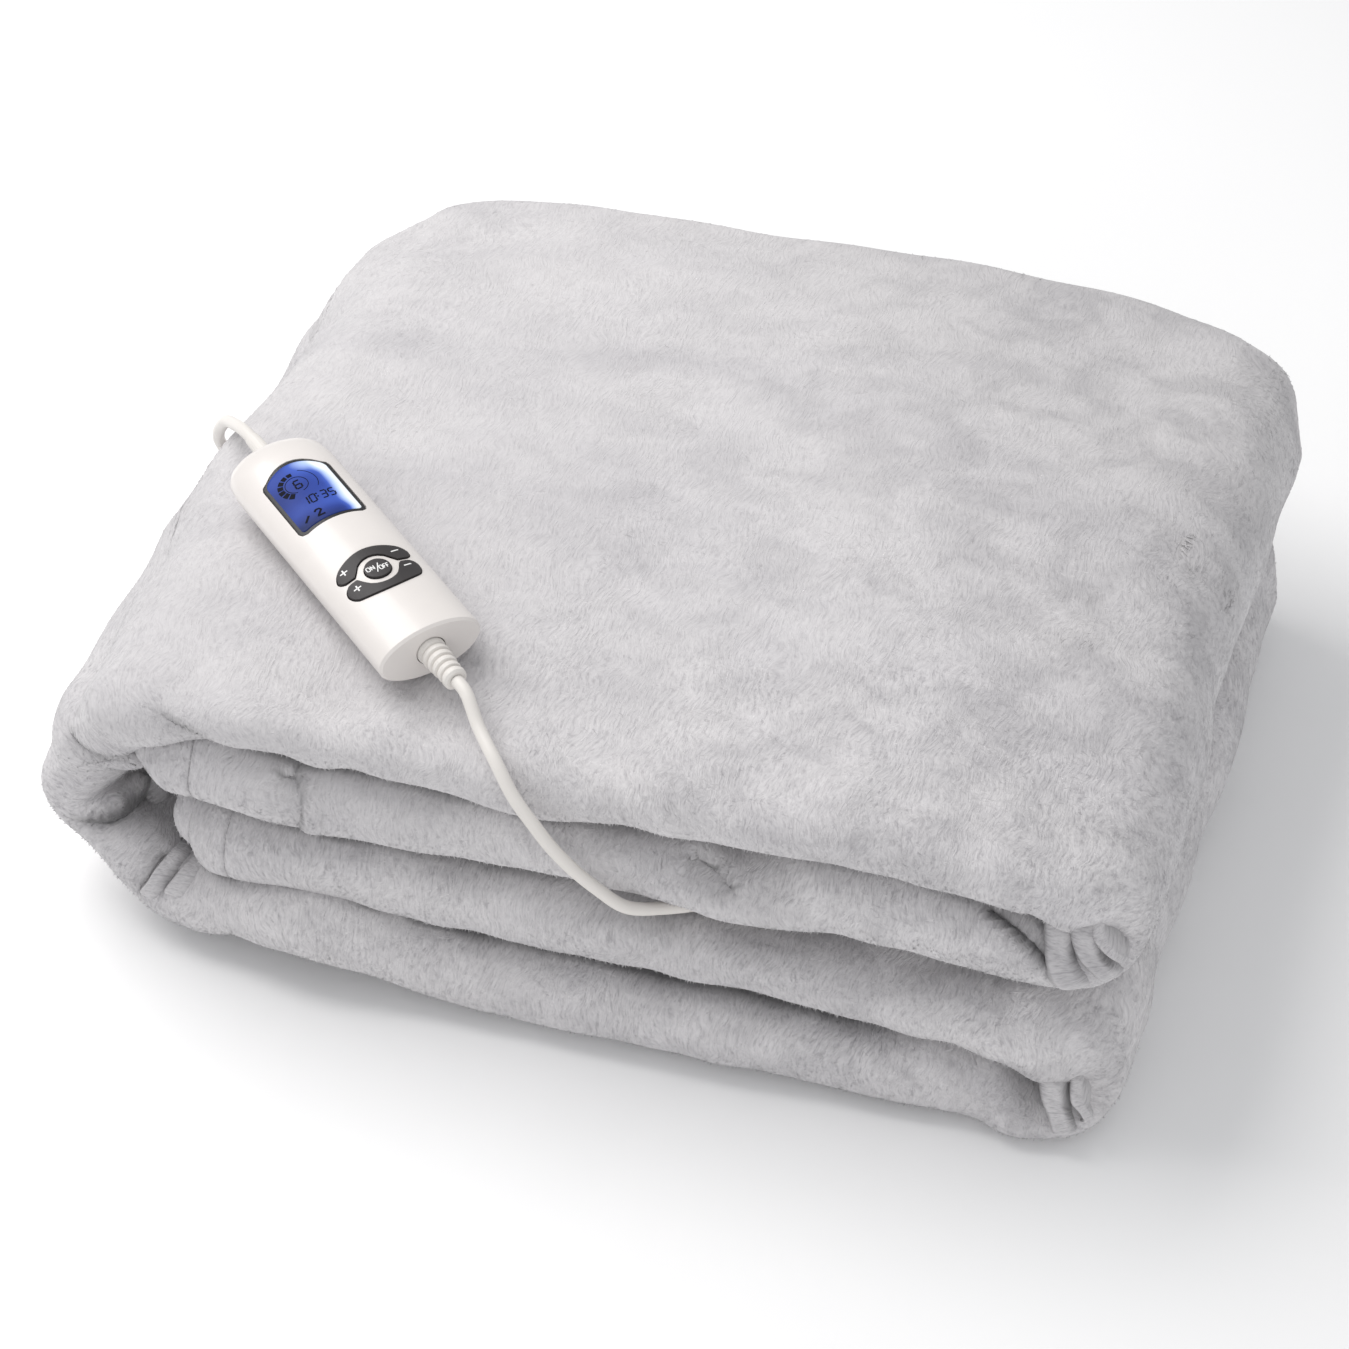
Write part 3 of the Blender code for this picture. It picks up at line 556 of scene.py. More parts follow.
def smooth_rows(rows, count):
    p = np.array(rows, float)
    n = len(p)
    d = np.linalg.norm(np.diff(p[:, :2], axis=0), axis=1)
    t = np.concatenate([[0], np.cumsum(np.maximum(d, 1e-4) ** 0.6)])
    m = np.zeros_like(p)
    m[0] = (p[1] - p[0]) / (t[1] - t[0])
    m[-1] = (p[-1] - p[-2]) / (t[-1] - t[-2])
    for i in range(1, n - 1):
        a, b = t[i] - t[i - 1], t[i + 1] - t[i]
        m[i] = ((p[i] - p[i - 1]) / a * b + (p[i + 1] - p[i]) / b * a) / (a + b)
    out = []
    for i in range(n - 1):
        h, k = t[i + 1] - t[i], count(i, d[i])
        for j in range(k):
            u = j / k
            out.append((2 * u**3 - 3 * u**2 + 1) * p[i] + (u**3 - 2 * u**2 + u) * h * m[i]
                       + (3 * u**2 - 2 * u**3) * p[i + 1] + (u**3 - u**2) * h * m[i + 1])
    out.append(p[-1])
    return np.array(out)


def layer(low, high, edges, tag):
    rows = []
    for r in LAYERS:
        a = LIFT.get(r[0], 0.0) if low is None else r[low] + GAP / 2
        b = r[high] - (GAP / 2 if high < 4 else 0.0)
        rows.append((r[0], (a + b) / 2, b - a, edges[0], edges[1], tag))
    return rows


def half_turn(low, high, x0, edges, tag):
    mid, rise = (low[1] + high[1]) / 2, (high[1] - low[1]) / 2
    rows = []
    for deg, drawn, thin in TURN:
        s = (deg + 90) / 180
        c = math.cos(math.radians(deg))
        rows.append((x0 + (rise + 0.001) * c * 1.05,
                     mid + (rise + 0.0005 * c) * math.sin(math.radians(deg)),
                     (low[2] * (1 - s) + high[2] * s) * thin,
                     edges[0] + 0.002 + drawn, edges[1] - 0.010 - 2.2 * drawn, tag))
    return rows


def fold_rows():
    """x, z, thickness, front, back, place along the fold (0 second layer, 1 upper
    turn, 2 top layer, 3 wrap, 4 bottom layer, 5 lower turn, 6 third layer)."""
    second = layer(2, 3, EDGES["second"], 0)
    top = layer(3, 4, EDGES["top"], 2)[::-1]
    bottom = layer(None, 1, EDGES["bottom"], 4)
    third = layer(1, 2, EDGES["third"], 6)[::-1]
    s, t = second[0], third[-1]
    start = [(-0.1475, s[1] + 0.0012, s[2] * 0.86, s[3] + 0.008, s[4] - 0.012, 0)]
    end = [(-0.1395, t[1] + 0.0012, t[2] * 0.90, t[3] + 0.008, t[4] - 0.012, 6)]
    wrap = [(*w, 3) for w in WRAP]
    return (start + second + half_turn(second[-1], top[0], TURN_UPPER_X, EDGES["top"], 1)
            + top + wrap + bottom[1:]
            + half_turn(bottom[-1], third[0], TURN_LOWER_X, EDGES["third"], 5) + third + end)


def crown(x, y):
    a = np.maximum(0.0, 1 - (x / CROWN_X) ** 2)
    b = np.maximum(0.0, 1 - ((y - CROWN_BACK) / CROWN_Y) ** 2)
    return CROWN * a * b


def slip(x, y):
    a = np.exp(-((x - SLIP_X) / SLIP_WIDE) ** 2)
    b = np.exp(-(np.maximum(0.0, y - SLIP_Y) / SLIP_DEEP) ** 2)
    return SLIP_RISE * a * b


def fold_line(count):
    """The fold's middle line, closer together at the hems, wrap and turns."""
    rows = fold_rows()
    line = smooth_rows(rows, lambda i, d: max(8, int(math.ceil(d / 0.0005))))
    # a little more cloth past each hemmed end
    for end, step in ((0, 1), (-1, -1)):
        a = line[end]
        b = line[end + 12 * step]
        way = a[:2] - b[:2]
        way /= np.linalg.norm(way)
        extra = [a.copy() for _ in range(12)]
        for k, e in enumerate(extra):
            e[:2] = a[:2] + way * HEM_OUT * (k + 1) / 12
        line = np.concatenate([extra[::-1], line]) if end == 0 else np.concatenate([line, extra])
    s = np.concatenate([[0], np.cumsum(np.linalg.norm(np.diff(line[:, :2], axis=0), axis=1))])
    x, tag = line[:, 0], line[:, 5]
    dens = np.ones(len(s))
    dens += 1.0 * ((x < -0.105) & (tag > 1.9) & (tag < 4.1))
    dens += 1.1 * (x > 0.112)
    dens += 1.3 * np.exp(-(s / 0.005) ** 2) + 1.3 * np.exp(-((s[-1] - s) / 0.005) ** 2)
    dens += 0.9 * np.exp(-(s / 0.040) ** 2) + 0.9 * np.exp(-((s[-1] - s) / 0.040) ** 2)
    kern = np.hanning(61)
    dens = np.convolve(np.pad(dens, 30, mode="edge"), kern / kern.sum(), "valid")
    c = np.concatenate([[0], np.cumsum((dens[1:] + dens[:-1]) / 2 * np.diff(s))])
    want = np.linspace(0, c[-1], count)
    out = np.stack([np.interp(want, c, line[:, k]) for k in range(6)], -1)
    ss = np.interp(want, c, s)
    tan = np.stack([np.gradient(out[:, 0]), np.gradient(out[:, 1])], -1)
    kern = np.hanning(13)
    tan = np.stack([np.convolve(np.pad(tan[:, k], 6, mode="edge"), kern / kern.sum(), "valid") for k in range(2)], -1)
    tan /= np.linalg.norm(tan, axis=1)[:, None]
    return out, ss, tan


def ply_path(t, front, back, columns):
    """(y, h) of each column of the four plies, for every place along the fold."""
    r1 = t / 2 - PLY - 0.0005
    r2 = np.maximum(t / 8, PLY + 0.0003)
    d = LIP * t / 2
    yc = front + d
    yc2 = yc + 0.002
    rb = (r1 - r2) / 2
    yb = back - PLY - rb * 1.25
    ys, hs = [], []
    for part, u, _ in columns:
        if part == "A":        # third ply, from its hem to the inner front fold
            ys.append(back - 0.010 + (yc2 - back + 0.010) * u)
            hs.append(-r2 * np.ones_like(t))
        elif part == "B":
            w = math.pi * (u - 0.5)
            ys.append(yc2 - r2 * 1.3 * math.cos(w))
            hs.append(r2 * math.sin(w))
        elif part == "C":
            ys.append(yc2 + (yb - yc2) * u)
            hs.append(r2 * np.ones_like(t))
        elif part == "D":      # the fold at the back
            w = math.pi * (u - 0.5)
            ys.append(yb + rb * 1.25 * math.cos(w))
            hs.append((r1 + r2) / 2 + rb * math.sin(w))
        elif part == "E":      # outer ply
            ys.append(yb + (yc - yb) * u)
            hs.append(r1 * np.ones_like(t))
        elif part == "F":      # the rounded lip at the front
            w = math.pi * (0.5 - u)
            ys.append(yc - (d - PLY) * max(math.cos(w), 0.0) ** 0.9)
            hs.append(r1 * math.sin(w))
        else:                  # fourth ply, back to its hem
            ys.append(yc + (back - 0.006 - yc) * u)
            hs.append(-r1 * np.ones_like(t))
    return np.stack(ys, 1), np.stack(hs, 1)


def ply_columns():
    """(part, place along it, fine) of each column. Fine ones have all the rows."""
    cols = [("A", u, 0) for u in (0, 0.008, 0.02, 0.35, 0.65, 0.90)]
    cols += [("B", u, 0) for u in np.linspace(0, 1, 7)]
    cols += [("C", u, 0) for u in (0.10, 0.50, 0.90)]
    cols += [("D", u, 0) for u in np.linspace(0, 1, 11)]
    cols += [("E", u, 0) for u in (0.012, 0.030, 0.052)]
    cols += [("E", u, 0) for u in np.linspace(0.078, 1 - 0.047 / 0.30, 29)]
    cols += [("E", 1 - d / 0.30, 1) for d in (0.0400, 0.0340, 0.0285, 0.0235, 0.0190, 0.0150, 0.0115, 0.0084, 0.0055, 0.0027)]
    cols += [("F", u, 1) for u in np.linspace(0, 1, 37)]
    cols += [("G", u, 1) for u in (0.007, 0.014, 0.022)]
    cols += [("G", u, 0) for u in (0.035, 0.055, 0.09, 0.16, 0.30, 0.55, 0.80, 0.96, 0.988, 1.0)]
    return cols


HEM_OUT = 0.0080
SEAM_IN = 0.0255
ROWS = 961
line, S, TAN = fold_line(ROWS)
COLS = ply_columns()
t, front, back = line[:, 2].copy(), line[:, 3].copy(), line[:, 4].copy()
part_of = np.array([c[0] for c in COLS])
part_u = np.array([c[1] for c in COLS])
fine_col = np.array([c[2] for c in COLS]) > 0
outer = np.isin(part_of, ("D", "E", "F", "G"))
reach = np.minimum(S, S[-1] - S)
TAG1 = line[:, 5]

# each hemmed end closes like the end of a pillow, its lower corner round
END_R = np.where(line[:, 5] < 3, 0.0135, 0.0080)
close = np.sqrt(np.clip(1 - (1 - np.clip(reach / END_R, 0, 1)) ** 2, 0.02, 1))
front = front + 0.0065 * (1 - close)
Y, H = ply_path(t, front, back, COLS)
H = H * close[:, None]
NU, NV = Y.shape
TAG = np.repeat(TAG1[:, None], NV, 1)
NX, NZ = TAN[:, 1][:, None], -TAN[:, 0][:, None]
X = line[:, 0][:, None] + NX * H
Z = line[:, 1][:, None] + NZ * H
Z = Z + ((1 - close) * t * 0.17)[:, None]
half = t[:, None] / 2
upness = np.maximum(0.0, NZ * H) / half
downness = np.maximum(0.0, -NZ * H) / half
Zc = np.repeat(line[:, 1][:, None], NV, 1)
Z = Z + np.where(Zc > 0.09, crown(X, Y) * upness, 0)
Z = Z + np.where((Zc > 0.068) & (Zc <= 0.09), slip(X, Y) * downness, 0)
Z = Z - np.where((Zc > 0.038) & (Zc <= 0.068) & (np.abs(NZ) > 0.5), slip(X, Y) * upness, 0)
P = np.stack([X, Y, Z], -1)

# 1 on the lip, falling to 0 on the flat plies behind it; and the angle round the lip,
# -1 where it meets the outer ply and 1 where it meets the fourth
lipness = np.zeros(NV)
lip_w = np.zeros(NV)
for j, (part, u, _) in enumerate(COLS):
    if part == "F":
        lipness[j], lip_w[j] = 1, 2 * u - 1
    elif part == "E":
        lipness[j], lip_w[j] = math.exp(-((1 - u) * 0.30 / 0.020) ** 2), -1
    elif part == "G":
        lipness[j], lip_w[j] = math.exp(-(u * 0.30 / 0.016) ** 2), 1
    elif part == "B":
        lipness[j] = 1
    elif part in "AC":
        lipness[j] = 0.5


def unit(a):
    return a / np.maximum(np.linalg.norm(a, axis=-1, keepdims=True), 1e-12)


def grid_normals(P):
    return unit(np.cross(np.gradient(P, axis=1), np.gradient(P, axis=0)))


N = grid_normals(P)
mid_e = np.where(part_of == "E")[0][15]
k_top = int(np.argmin(np.abs(TAG1 - 2.0) + np.abs(line[:, 0])))
SIGN = -1.0 if N[k_top, mid_e, 2] < 0 else 1.0
N = N * SIGN


def layer_is(tag):
    return np.abs(TAG1 - tag) < 0.5


# ---- how each lip runs: x, how far it moves up, how far it moves back, in mm
LIPS = {
    2: [(-0.150, 0, 0), (-0.128, 0.5, 0), (-0.111, 2.8, 0), (-0.098, 2.2, 0), (-0.085, -0.3, 0), (-0.068, 2.0, 0), (-0.040, 1.0, 0),
        (0.000, 0, 0), (0.020, 1.0, 0), (0.032, 2.7, 0), (0.045, 3.0, 0), (0.070, 1.6, 0), (0.085, 4.0, 0), (0.099, 7.0, 0),
        (0.111, 5.2, 0), (0.125, 3.2, 0), (0.140, 1.0, 0), (0.150, 0, 0), (0.162, -3.0, 0)],
    0: [(-0.140, 3.0, 0), (-0.128, 6.5, 0), (-0.113, 5.0, 0), (-0.098, 1.5, 0), (-0.085, 1.5, 0), (-0.070, 3.2, 0), (-0.041, 3.4, 0),
        (-0.027, 4.4, 0), (-0.010, 3.2, 0), (0.002, 2.8, 0), (0.018, 0.8, 0), (0.030, 0, 0), (0.043, -1.5, 0), (0.056, -5.5, 0),
        (0.070, -4.0, 0), (0.084, 0.5, 0), (0.100, 2.4, 0), (0.125, 2.0, 0), (0.140, 1.0, 0), (0.160, 0, 0)],
    6: [(-0.130, 2.5, 0), (-0.110, 3.2, 0), (-0.075, 2.0, 0), (-0.030, 2.0, 0), (-0.013, 3.0, 0), (0.005, 2.0, 0), (0.030, 0.5, 0),
        (0.056, 0, 0), (0.080, -2.2, 0), (0.127, -2.8, 0), (0.141, -1.5, 0), (0.153, -4.5, 0), (0.165, 0, 0)],
    4: [(-0.150, 4.5, 0), (-0.131, 8.0, 0), (-0.107, 10.5, 0), (-0.085, 10.3, 0), (-0.074, 7.5, 0.5), (-0.052, 3.0, 1.0),
        (0.000, 1.5, 1.8), (0.070, 0.8, 1.2), (0.100, 0.4, 1.2), (0.132, 0.6, 4.0), (0.146, 0.4, 3.4), (0.153, 0, 3.6), (0.161, 0, 2.2), (0.170, 0, -3.5)],
}
# the same for the turned right side, by its height from low to high: in, up, back
TURNS = {
    1: [(0.0, 0, 0, 0), (0.5, 0, 0, 0), (1.0, 0, -3.0, 0)],
    5: [(0.0, -1.5, 0, -5.5), (0.35, -4.5, 0, -6.0), (0.65, -3.5, 0, -2.0), (1.0, -1.0, -1.0, 0)],
}
# the wrapped left side: angle round it, outwards at each depth y, in mm
WRAP_Y = (-0.160, -0.135, -0.100, -0.040, 0.020, 0.070, 0.110, 0.150)
WRAP_OUT = [
    (88, 0, 0, 0, 0, 0, 0, -1.5, -2.5),
    (112, -1.5, -2.0, -2.0, 0.5, -1.0, -2.0, -2.5, -2.5),
    (132, -7.0, -7.5, -6.5, 1.5, -4.0, -4.0, -4.5, -3.0),
    (152, -8.0, -8.5, -6.5, 1.5, -5.0, -5.5, -7.5, -6.0),
    (170, -1.0, -1.0, -1.0, 1.0, -1.5, -2.0, -5.0, -5.0),
    (197, 2.0, 2.5, 1.0, 0.5, 0, 0, 0, 0),
    (214, 7.5, 8.5, 3.5, 0.5, 0, 0, 0, 0),
    (228, 0.5, 1.0, 0.5, 0, 0, 0, 0, 0),
    (245, -1.5, -1.5, 0, 0, 0, 0, 0, 0),
    (275, -1.0, -1.0, 0, 0, 0, 0, 0, 0),
]


def smooth_table(x, xs, ys):
    """Through the table's values, without corners."""
    k = np.clip(np.searchsorted(xs, x) - 1, 0, len(xs) - 2)
    d = np.gradient(ys, xs)
    h = xs[k + 1] - xs[k]
    u = np.clip((x - xs[k]) / h, 0, 1)
    return ((2 * u**3 - 3 * u**2 + 1) * ys[k] + (u**3 - 2 * u**2 + u) * h * d[k]
            + (3 * u**2 - 2 * u**3) * ys[k + 1] + (u**3 - u**2) * h * d[k + 1])


def move_the_lips(P):
    for tag, table in LIPS.items():
        a = np.array(table, float)
        rows = np.where(np.abs(TAG1 - tag) < 0.999)[0]
        w = 1 - smoothstep(0.0, 1.0, np.abs(TAG1[rows] - tag))
        x = line[rows, 0]
        dz = smooth_table(x, a[:, 0], a[:, 1]) * w / 1000
        dy = smooth_table(x, a[:, 0], a[:, 2]) * w / 1000
        P[rows, :, 2] += dz[:, None] * lipness[None, :]
        P[rows, :, 1] += dy[:, None] * lipness[None, :]
    for tag, table in TURNS.items():
        a = np.array(table, float)
        rows = np.where(np.abs(TAG1 - tag) < 0.999)[0]
        w = 1 - smoothstep(0.0, 1.0, np.abs(TAG1[rows] - tag))
        z = line[rows, 1]
        h = (z - z.min()) / (z.max() - z.min())
        for c, k in ((1, 0), (2, 2), (3, 1)):
            P[rows, :, k] += (smooth_table(h, a[:, 0], a[:, c]) * w / 1000)[:, None] * turn_front[None, :]
    return P


def shape_the_wrap(P, N):
    """The left side's own outline."""
    phi = np.degrees(np.arctan2(line[:, 1] - 0.068, line[:, 0] + 0.150)) % 360
    rows = np.where((TAG1 > 2.0) & (TAG1 < 4.0) & (line[:, 0] < -0.142))[0]
    a = np.array(WRAP_OUT, float)
    per = np.stack([smooth_table(phi[rows], a[:, 0], a[:, k]) for k in range(1, a.shape[1])], -1)
    fade = smoothstep(-0.142, -0.155, line[rows, 0])
    ys = np.array(WRAP_Y)
    for i, r in enumerate(rows):
        out = np.interp(P[r, :, 1], ys, per[i]) * fade[i] / 1000
        P[r] += np.array([NX[r, 0], 0, NZ[r, 0]])[None, :] * out[:, None] * SIDE
    return P


def lower_the_back(P):
    """The top layer's back corners hang a little."""
    top = (smoothstep(0.30, 0.60, TAG1) * smoothstep(3.6, 2.6, TAG1))[:, None]
    x, y = P[..., 0], P[..., 1]
    right = smoothstep(0.045, 0.150, x) * smoothstep(0.060, 0.165, y)
    left = smoothstep(-0.090, -0.130, x) * smoothstep(0.080, 0.165, y)
    level = smoothstep(0.090, 0.115, P[..., 2])
    P[..., 2] -= top * (0.0055 * right + 0.0045 * left) * level
    P[..., 1] -= top * 0.0035 * right * level
    turned = (np.abs(TAG1 - 1) < 0.6)[:, None]
    P[..., 0] += np.where(turned, 0.0030 * smoothstep(0.170, 0.185, x) * smoothstep(0.080, 0.130, y), 0)
    return P


def lower_the_right_ends(P):
    """Towards the right end the upper lip of each bundle comes lower over the other."""
    near = smoothstep(-0.100, -0.130, P[..., 1])
    for tags, z0, z1, z2, x0, x1, drop in (((3.4, 6.6), 0.000, 0.031, 0.064, 0.148, 0.170, 0.0125),
                                           ((-0.6, 2.6), 0.066, 0.0965, 0.128, 0.158, 0.173, 0.0055)):
        mine = ((TAG1 > tags[0]) & (TAG1 < tags[1]))[:, None]
        z = P[..., 2]
        bump = smoothstep(z0, z1, z) * smoothstep(z2, z1, z)
        P[..., 2] -= np.where(mine, drop * bump * smoothstep(x0, x1, P[..., 0]) * near, 0)
    # the third layer's hemmed end stops a little before the other
    end = (TAG1 > 5.5) & (reach < 0.06)
    P[..., 0] += np.where(end, 0.0048 * smoothstep(0.050, 0.0, reach), 0)[:, None]
    return P


def uneven(P, N):
    """Soft unevenness of thick cloth, mostly across the depth."""
    soft = Waves(3, 0.090, 30, 0.35, (1.6, 1, 1))
    fine = Waves(5, 0.038, 30, 0.35, (1.5, 1, 1))
    lip = Waves(9, 0.026, 24, 0.4)
    amount = 0.0010 * soft(P) + 0.0005 * fine(P) + 0.0004 * lip(P) * lipness[None, :]
    rest = smoothstep(0.000, 0.020, P[..., 2])          # stays flat on the ground
    amount = np.where(outer[None, :], amount * (0.20 + 0.80 * rest), 0)
    return P + N * amount[..., None]


SIDE = 1.0 if (N[k_top, mid_e, 2] > 0) == (NZ[k_top, 0] > 0) else -1.0
# how much of the turned side's front each column belongs to
turn_front = np.maximum(lipness, [1 - float(smoothstep(0.0, 0.075, (1 - u) * 0.30)) if part == "E" else 0.0 for part, u, _ in COLS])
P = move_the_lips(P)
P = shape_the_wrap(P, N)
P = lower_the_back(P)
P = lower_the_right_ends(P)
P = uneven(P, N)
N = grid_normals(P) * SIGN

# ---- creases and overlaps, each a line on the cloth in metres. The side on the right
# of the line lies over the other. Heights and widths in mm.
FOLDS = [
    # the left wrap's pleats, from under the top lip to the foot
    ((2.2, 3.8), [(-0.1515, -0.1490, 0.0858), (-0.1580, -0.1524, 0.0843), (-0.1624, -0.1536, 0.0841), (-0.1673, -0.1528, 0.0839),
                  (-0.1723, -0.1503, 0.0823), (-0.1795, -0.1451, 0.0824), (-0.1849, -0.1402, 0.0819)], 1.6, 3.4, 8, 7, (0.0, 0.35)),
    ((2.2, 3.8), [(-0.1559, -0.1490, 0.0767), (-0.1588, -0.1513, 0.0784), (-0.1645, -0.1520, 0.0780), (-0.1729, -0.1489, 0.0725),
                  (-0.1808, -0.1456, 0.0670)], 0.5, 1.8, 4, 5, (0.0, 0.5)),
    ((2.2, 3.8), [(-0.1742, -0.1330, 0.0510), (-0.1753, -0.1396, 0.0552), (-0.1811, -0.1432, 0.0548), (-0.1853, -0.1439, 0.0552),
                  (-0.1939, -0.1402, 0.0553)][::-1], 0.0, 0.0, 5, 5, (0.3, 0.3)),
    ((2.2, 3.8), [(-0.1646, -0.1245, 0.0462), (-0.1651, -0.1293, 0.0464), (-0.1668, -0.1351, 0.0468), (-0.1690, -0.1396, 0.0463),
                  (-0.1723, -0.1428, 0.0454), (-0.1762, -0.1446, 0.0444), (-0.1807, -0.1460, 0.0434), (-0.1853, -0.1463, 0.0424),
                  (-0.1897, -0.1453, 0.0422)], 2.8, 5.5, 9, 9, (0.0, 0.30)),
    ((2.2, 3.9), [(-0.1562, -0.1570, 0.0190), (-0.1550, -0.1578, 0.0240), (-0.1516, -0.1572, 0.0298), (-0.1486, -0.1531, 0.0348),
                  (-0.1462, -0.1460, 0.0367)], 0.0, 1.6, 4, 5, (0.1, 0.1), 2.2),
    ((2.2, 3.9), [(-0.1475, -0.1590, 0.0245), (-0.1449, -0.1577, 0.0293), (-0.1427, -0.1550, 0.0324), (-0.1410, -0.1514, 0.0344)],
     0.0, 0.8, 4, 4, (0.2, 0.1), 2.5),
    ((-0.2, 2.0), [(0.1715, -0.1535, 0.0728), (0.1688, -0.1568, 0.0800), (0.1664, -0.1558, 0.0868), (0.1648, -0.1528, 0.0940)],
     0.0, 0.8, 4, 4, (0.2, 0.0), 3.0),
    ((3.6, 6.3), [(0.1748, -0.1608, 0.0128), (0.1722, -0.1572, 0.0165), (0.1697, -0.1552, 0.0200), (0.1680, -0.1532, 0.0245)],
     0.0, 0.8, 4, 4, (0.2, 0.0), 3.5),
    # second layer, upright creases near its left end
    ((-0.5, 0.6), [(-0.0920, -0.1530, 0.0670), (-0.0879, -0.1603, 0.0787), (-0.0876, -0.1599, 0.0858), (-0.0884, -0.1579, 0.0902),
                   (-0.0904, -0.1549, 0.0935), (-0.0932, -0.1513, 0.0954)], 1.4, 2.4, 4, 8, (0.1, 0.0), 0.6),
    ((-0.5, 0.6), [(-0.0880, -0.1530, 0.0665), (-0.0851, -0.1604, 0.0814), (-0.0856, -0.1587, 0.0889), (-0.0891, -0.1517, 0.0955)],
     0.6, 0.8, 2, 2, (0.2, 0.2), 0.5),
    ((-0.5, 0.6), [(-0.0845, -0.1530, 0.0665), (-0.0819, -0.1602, 0.0821), (-0.0828, -0.1584, 0.0894), (-0.0859, -0.1523, 0.0956)],
     0.5, 0.7, 2, 2, (0.2, 0.2), 0.5),
    # second layer, the slanting crease right of the lead
    ((-0.5, 0.6), [(0.0645, -0.1560, 0.0826), (0.0606, -0.1522, 0.0866), (0.0562, -0.1481, 0.0889), (0.0519, -0.1463, 0.0906),
                   (0.0458, -0.1457, 0.0933)], 1.0, 2.6, 6, 10, (0.25, 0.0), 0.3),
    # top layer, near its left end
    ((1.3, 2.8), [(-0.1120, -0.1540, 0.1010), (-0.1165, -0.1575, 0.1040), (-0.1222, -0.1591, 0.1080), (-0.1305, -0.1585, 0.1111),
                  (-0.1385, -0.1565, 0.1131), (-0.1433, -0.1550, 0.1146)], 1.0, 2.2, 8, 8, (0.1, 0.45)),
    # the hollow left of the upper bundle's rolled end
    ((-0.2, 1.3), [(0.1435, -0.1502, 0.0982), (0.1502, -0.1528, 0.0958), (0.1577, -0.1557, 0.0919), (0.1630, -0.1568, 0.0870),
                   (0.1672, -0.1573, 0.0822)], 0.9, 4.2, 6, 8, (0.15, 0.05)),
    # soft wrinkles towards the top's right side
    ((0.6, 2.5), [(0.1954, 0.0074, 0.1076), (0.1930, 0.0075, 0.1137), (0.1895, 0.0085, 0.1188), (0.1847, 0.0073, 0.1230),
                  (0.1790, 0.0083, 0.1263), (0.1719, 0.0164, 0.1286), (0.1644, 0.0264, 0.1299)], 1.2, 1.9, 9, 10, (0.15, 0.35), 0.35),
    ((1.2, 2.5), [(0.1610, -0.0350, 0.1272), (0.1572, -0.0300, 0.1276), (0.1507, -0.0246, 0.1278), (0.1448, -0.0214, 0.1283),
                  (0.1387, -0.0223, 0.1283), (0.1313, -0.0238, 0.1286)], 0.5, 0.9, 8, 6, (0.3, 0.4)),
    ((1.2, 2.5), [(0.1629, -0.0470, 0.1269), (0.1571, -0.0457, 0.1274), (0.1481, -0.0438, 0.1275), (0.1380, -0.0447, 0.1275),
                  (0.1290, -0.0434, 0.1277)], 1.3, 0.9, 7, 6, (0.3, 0.4)),
]


def along(pts, Q):
    """Distance from a line of points, place along it (0 to 1), nearest point and direction."""
    a, b = pts[:-1], pts[1:]
    seg = b - a
    L = np.linalg.norm(seg, axis=1)
    start = np.concatenate([[0], np.cumsum(L)])
    best = np.full(len(Q), 1e9)
    where = np.zeros(len(Q))
    near = np.zeros_like(Q)
    way = np.zeros_like(Q)
    for k in range(len(a)):
        u = np.clip(((Q - a[k]) @ seg[k]) / L[k] ** 2, 0, 1)
        q = a[k] + u[:, None] * seg[k]
        d = np.linalg.norm(Q - q, axis=1)
        m = d < best
        best[m] = d[m]
        where[m] = ((start[k] + u * L[k]) / start[-1])[m]
        near[m] = q[m]
        way[m] = seg[k] / L[k]
    return best, where, near, way


def curve_through(pts, n=8):
    p = np.array(pts, float)
    return route(p, max(0.0008, path_length(p) / (n * (len(p) - 1)))) if len(p) > 2 else p


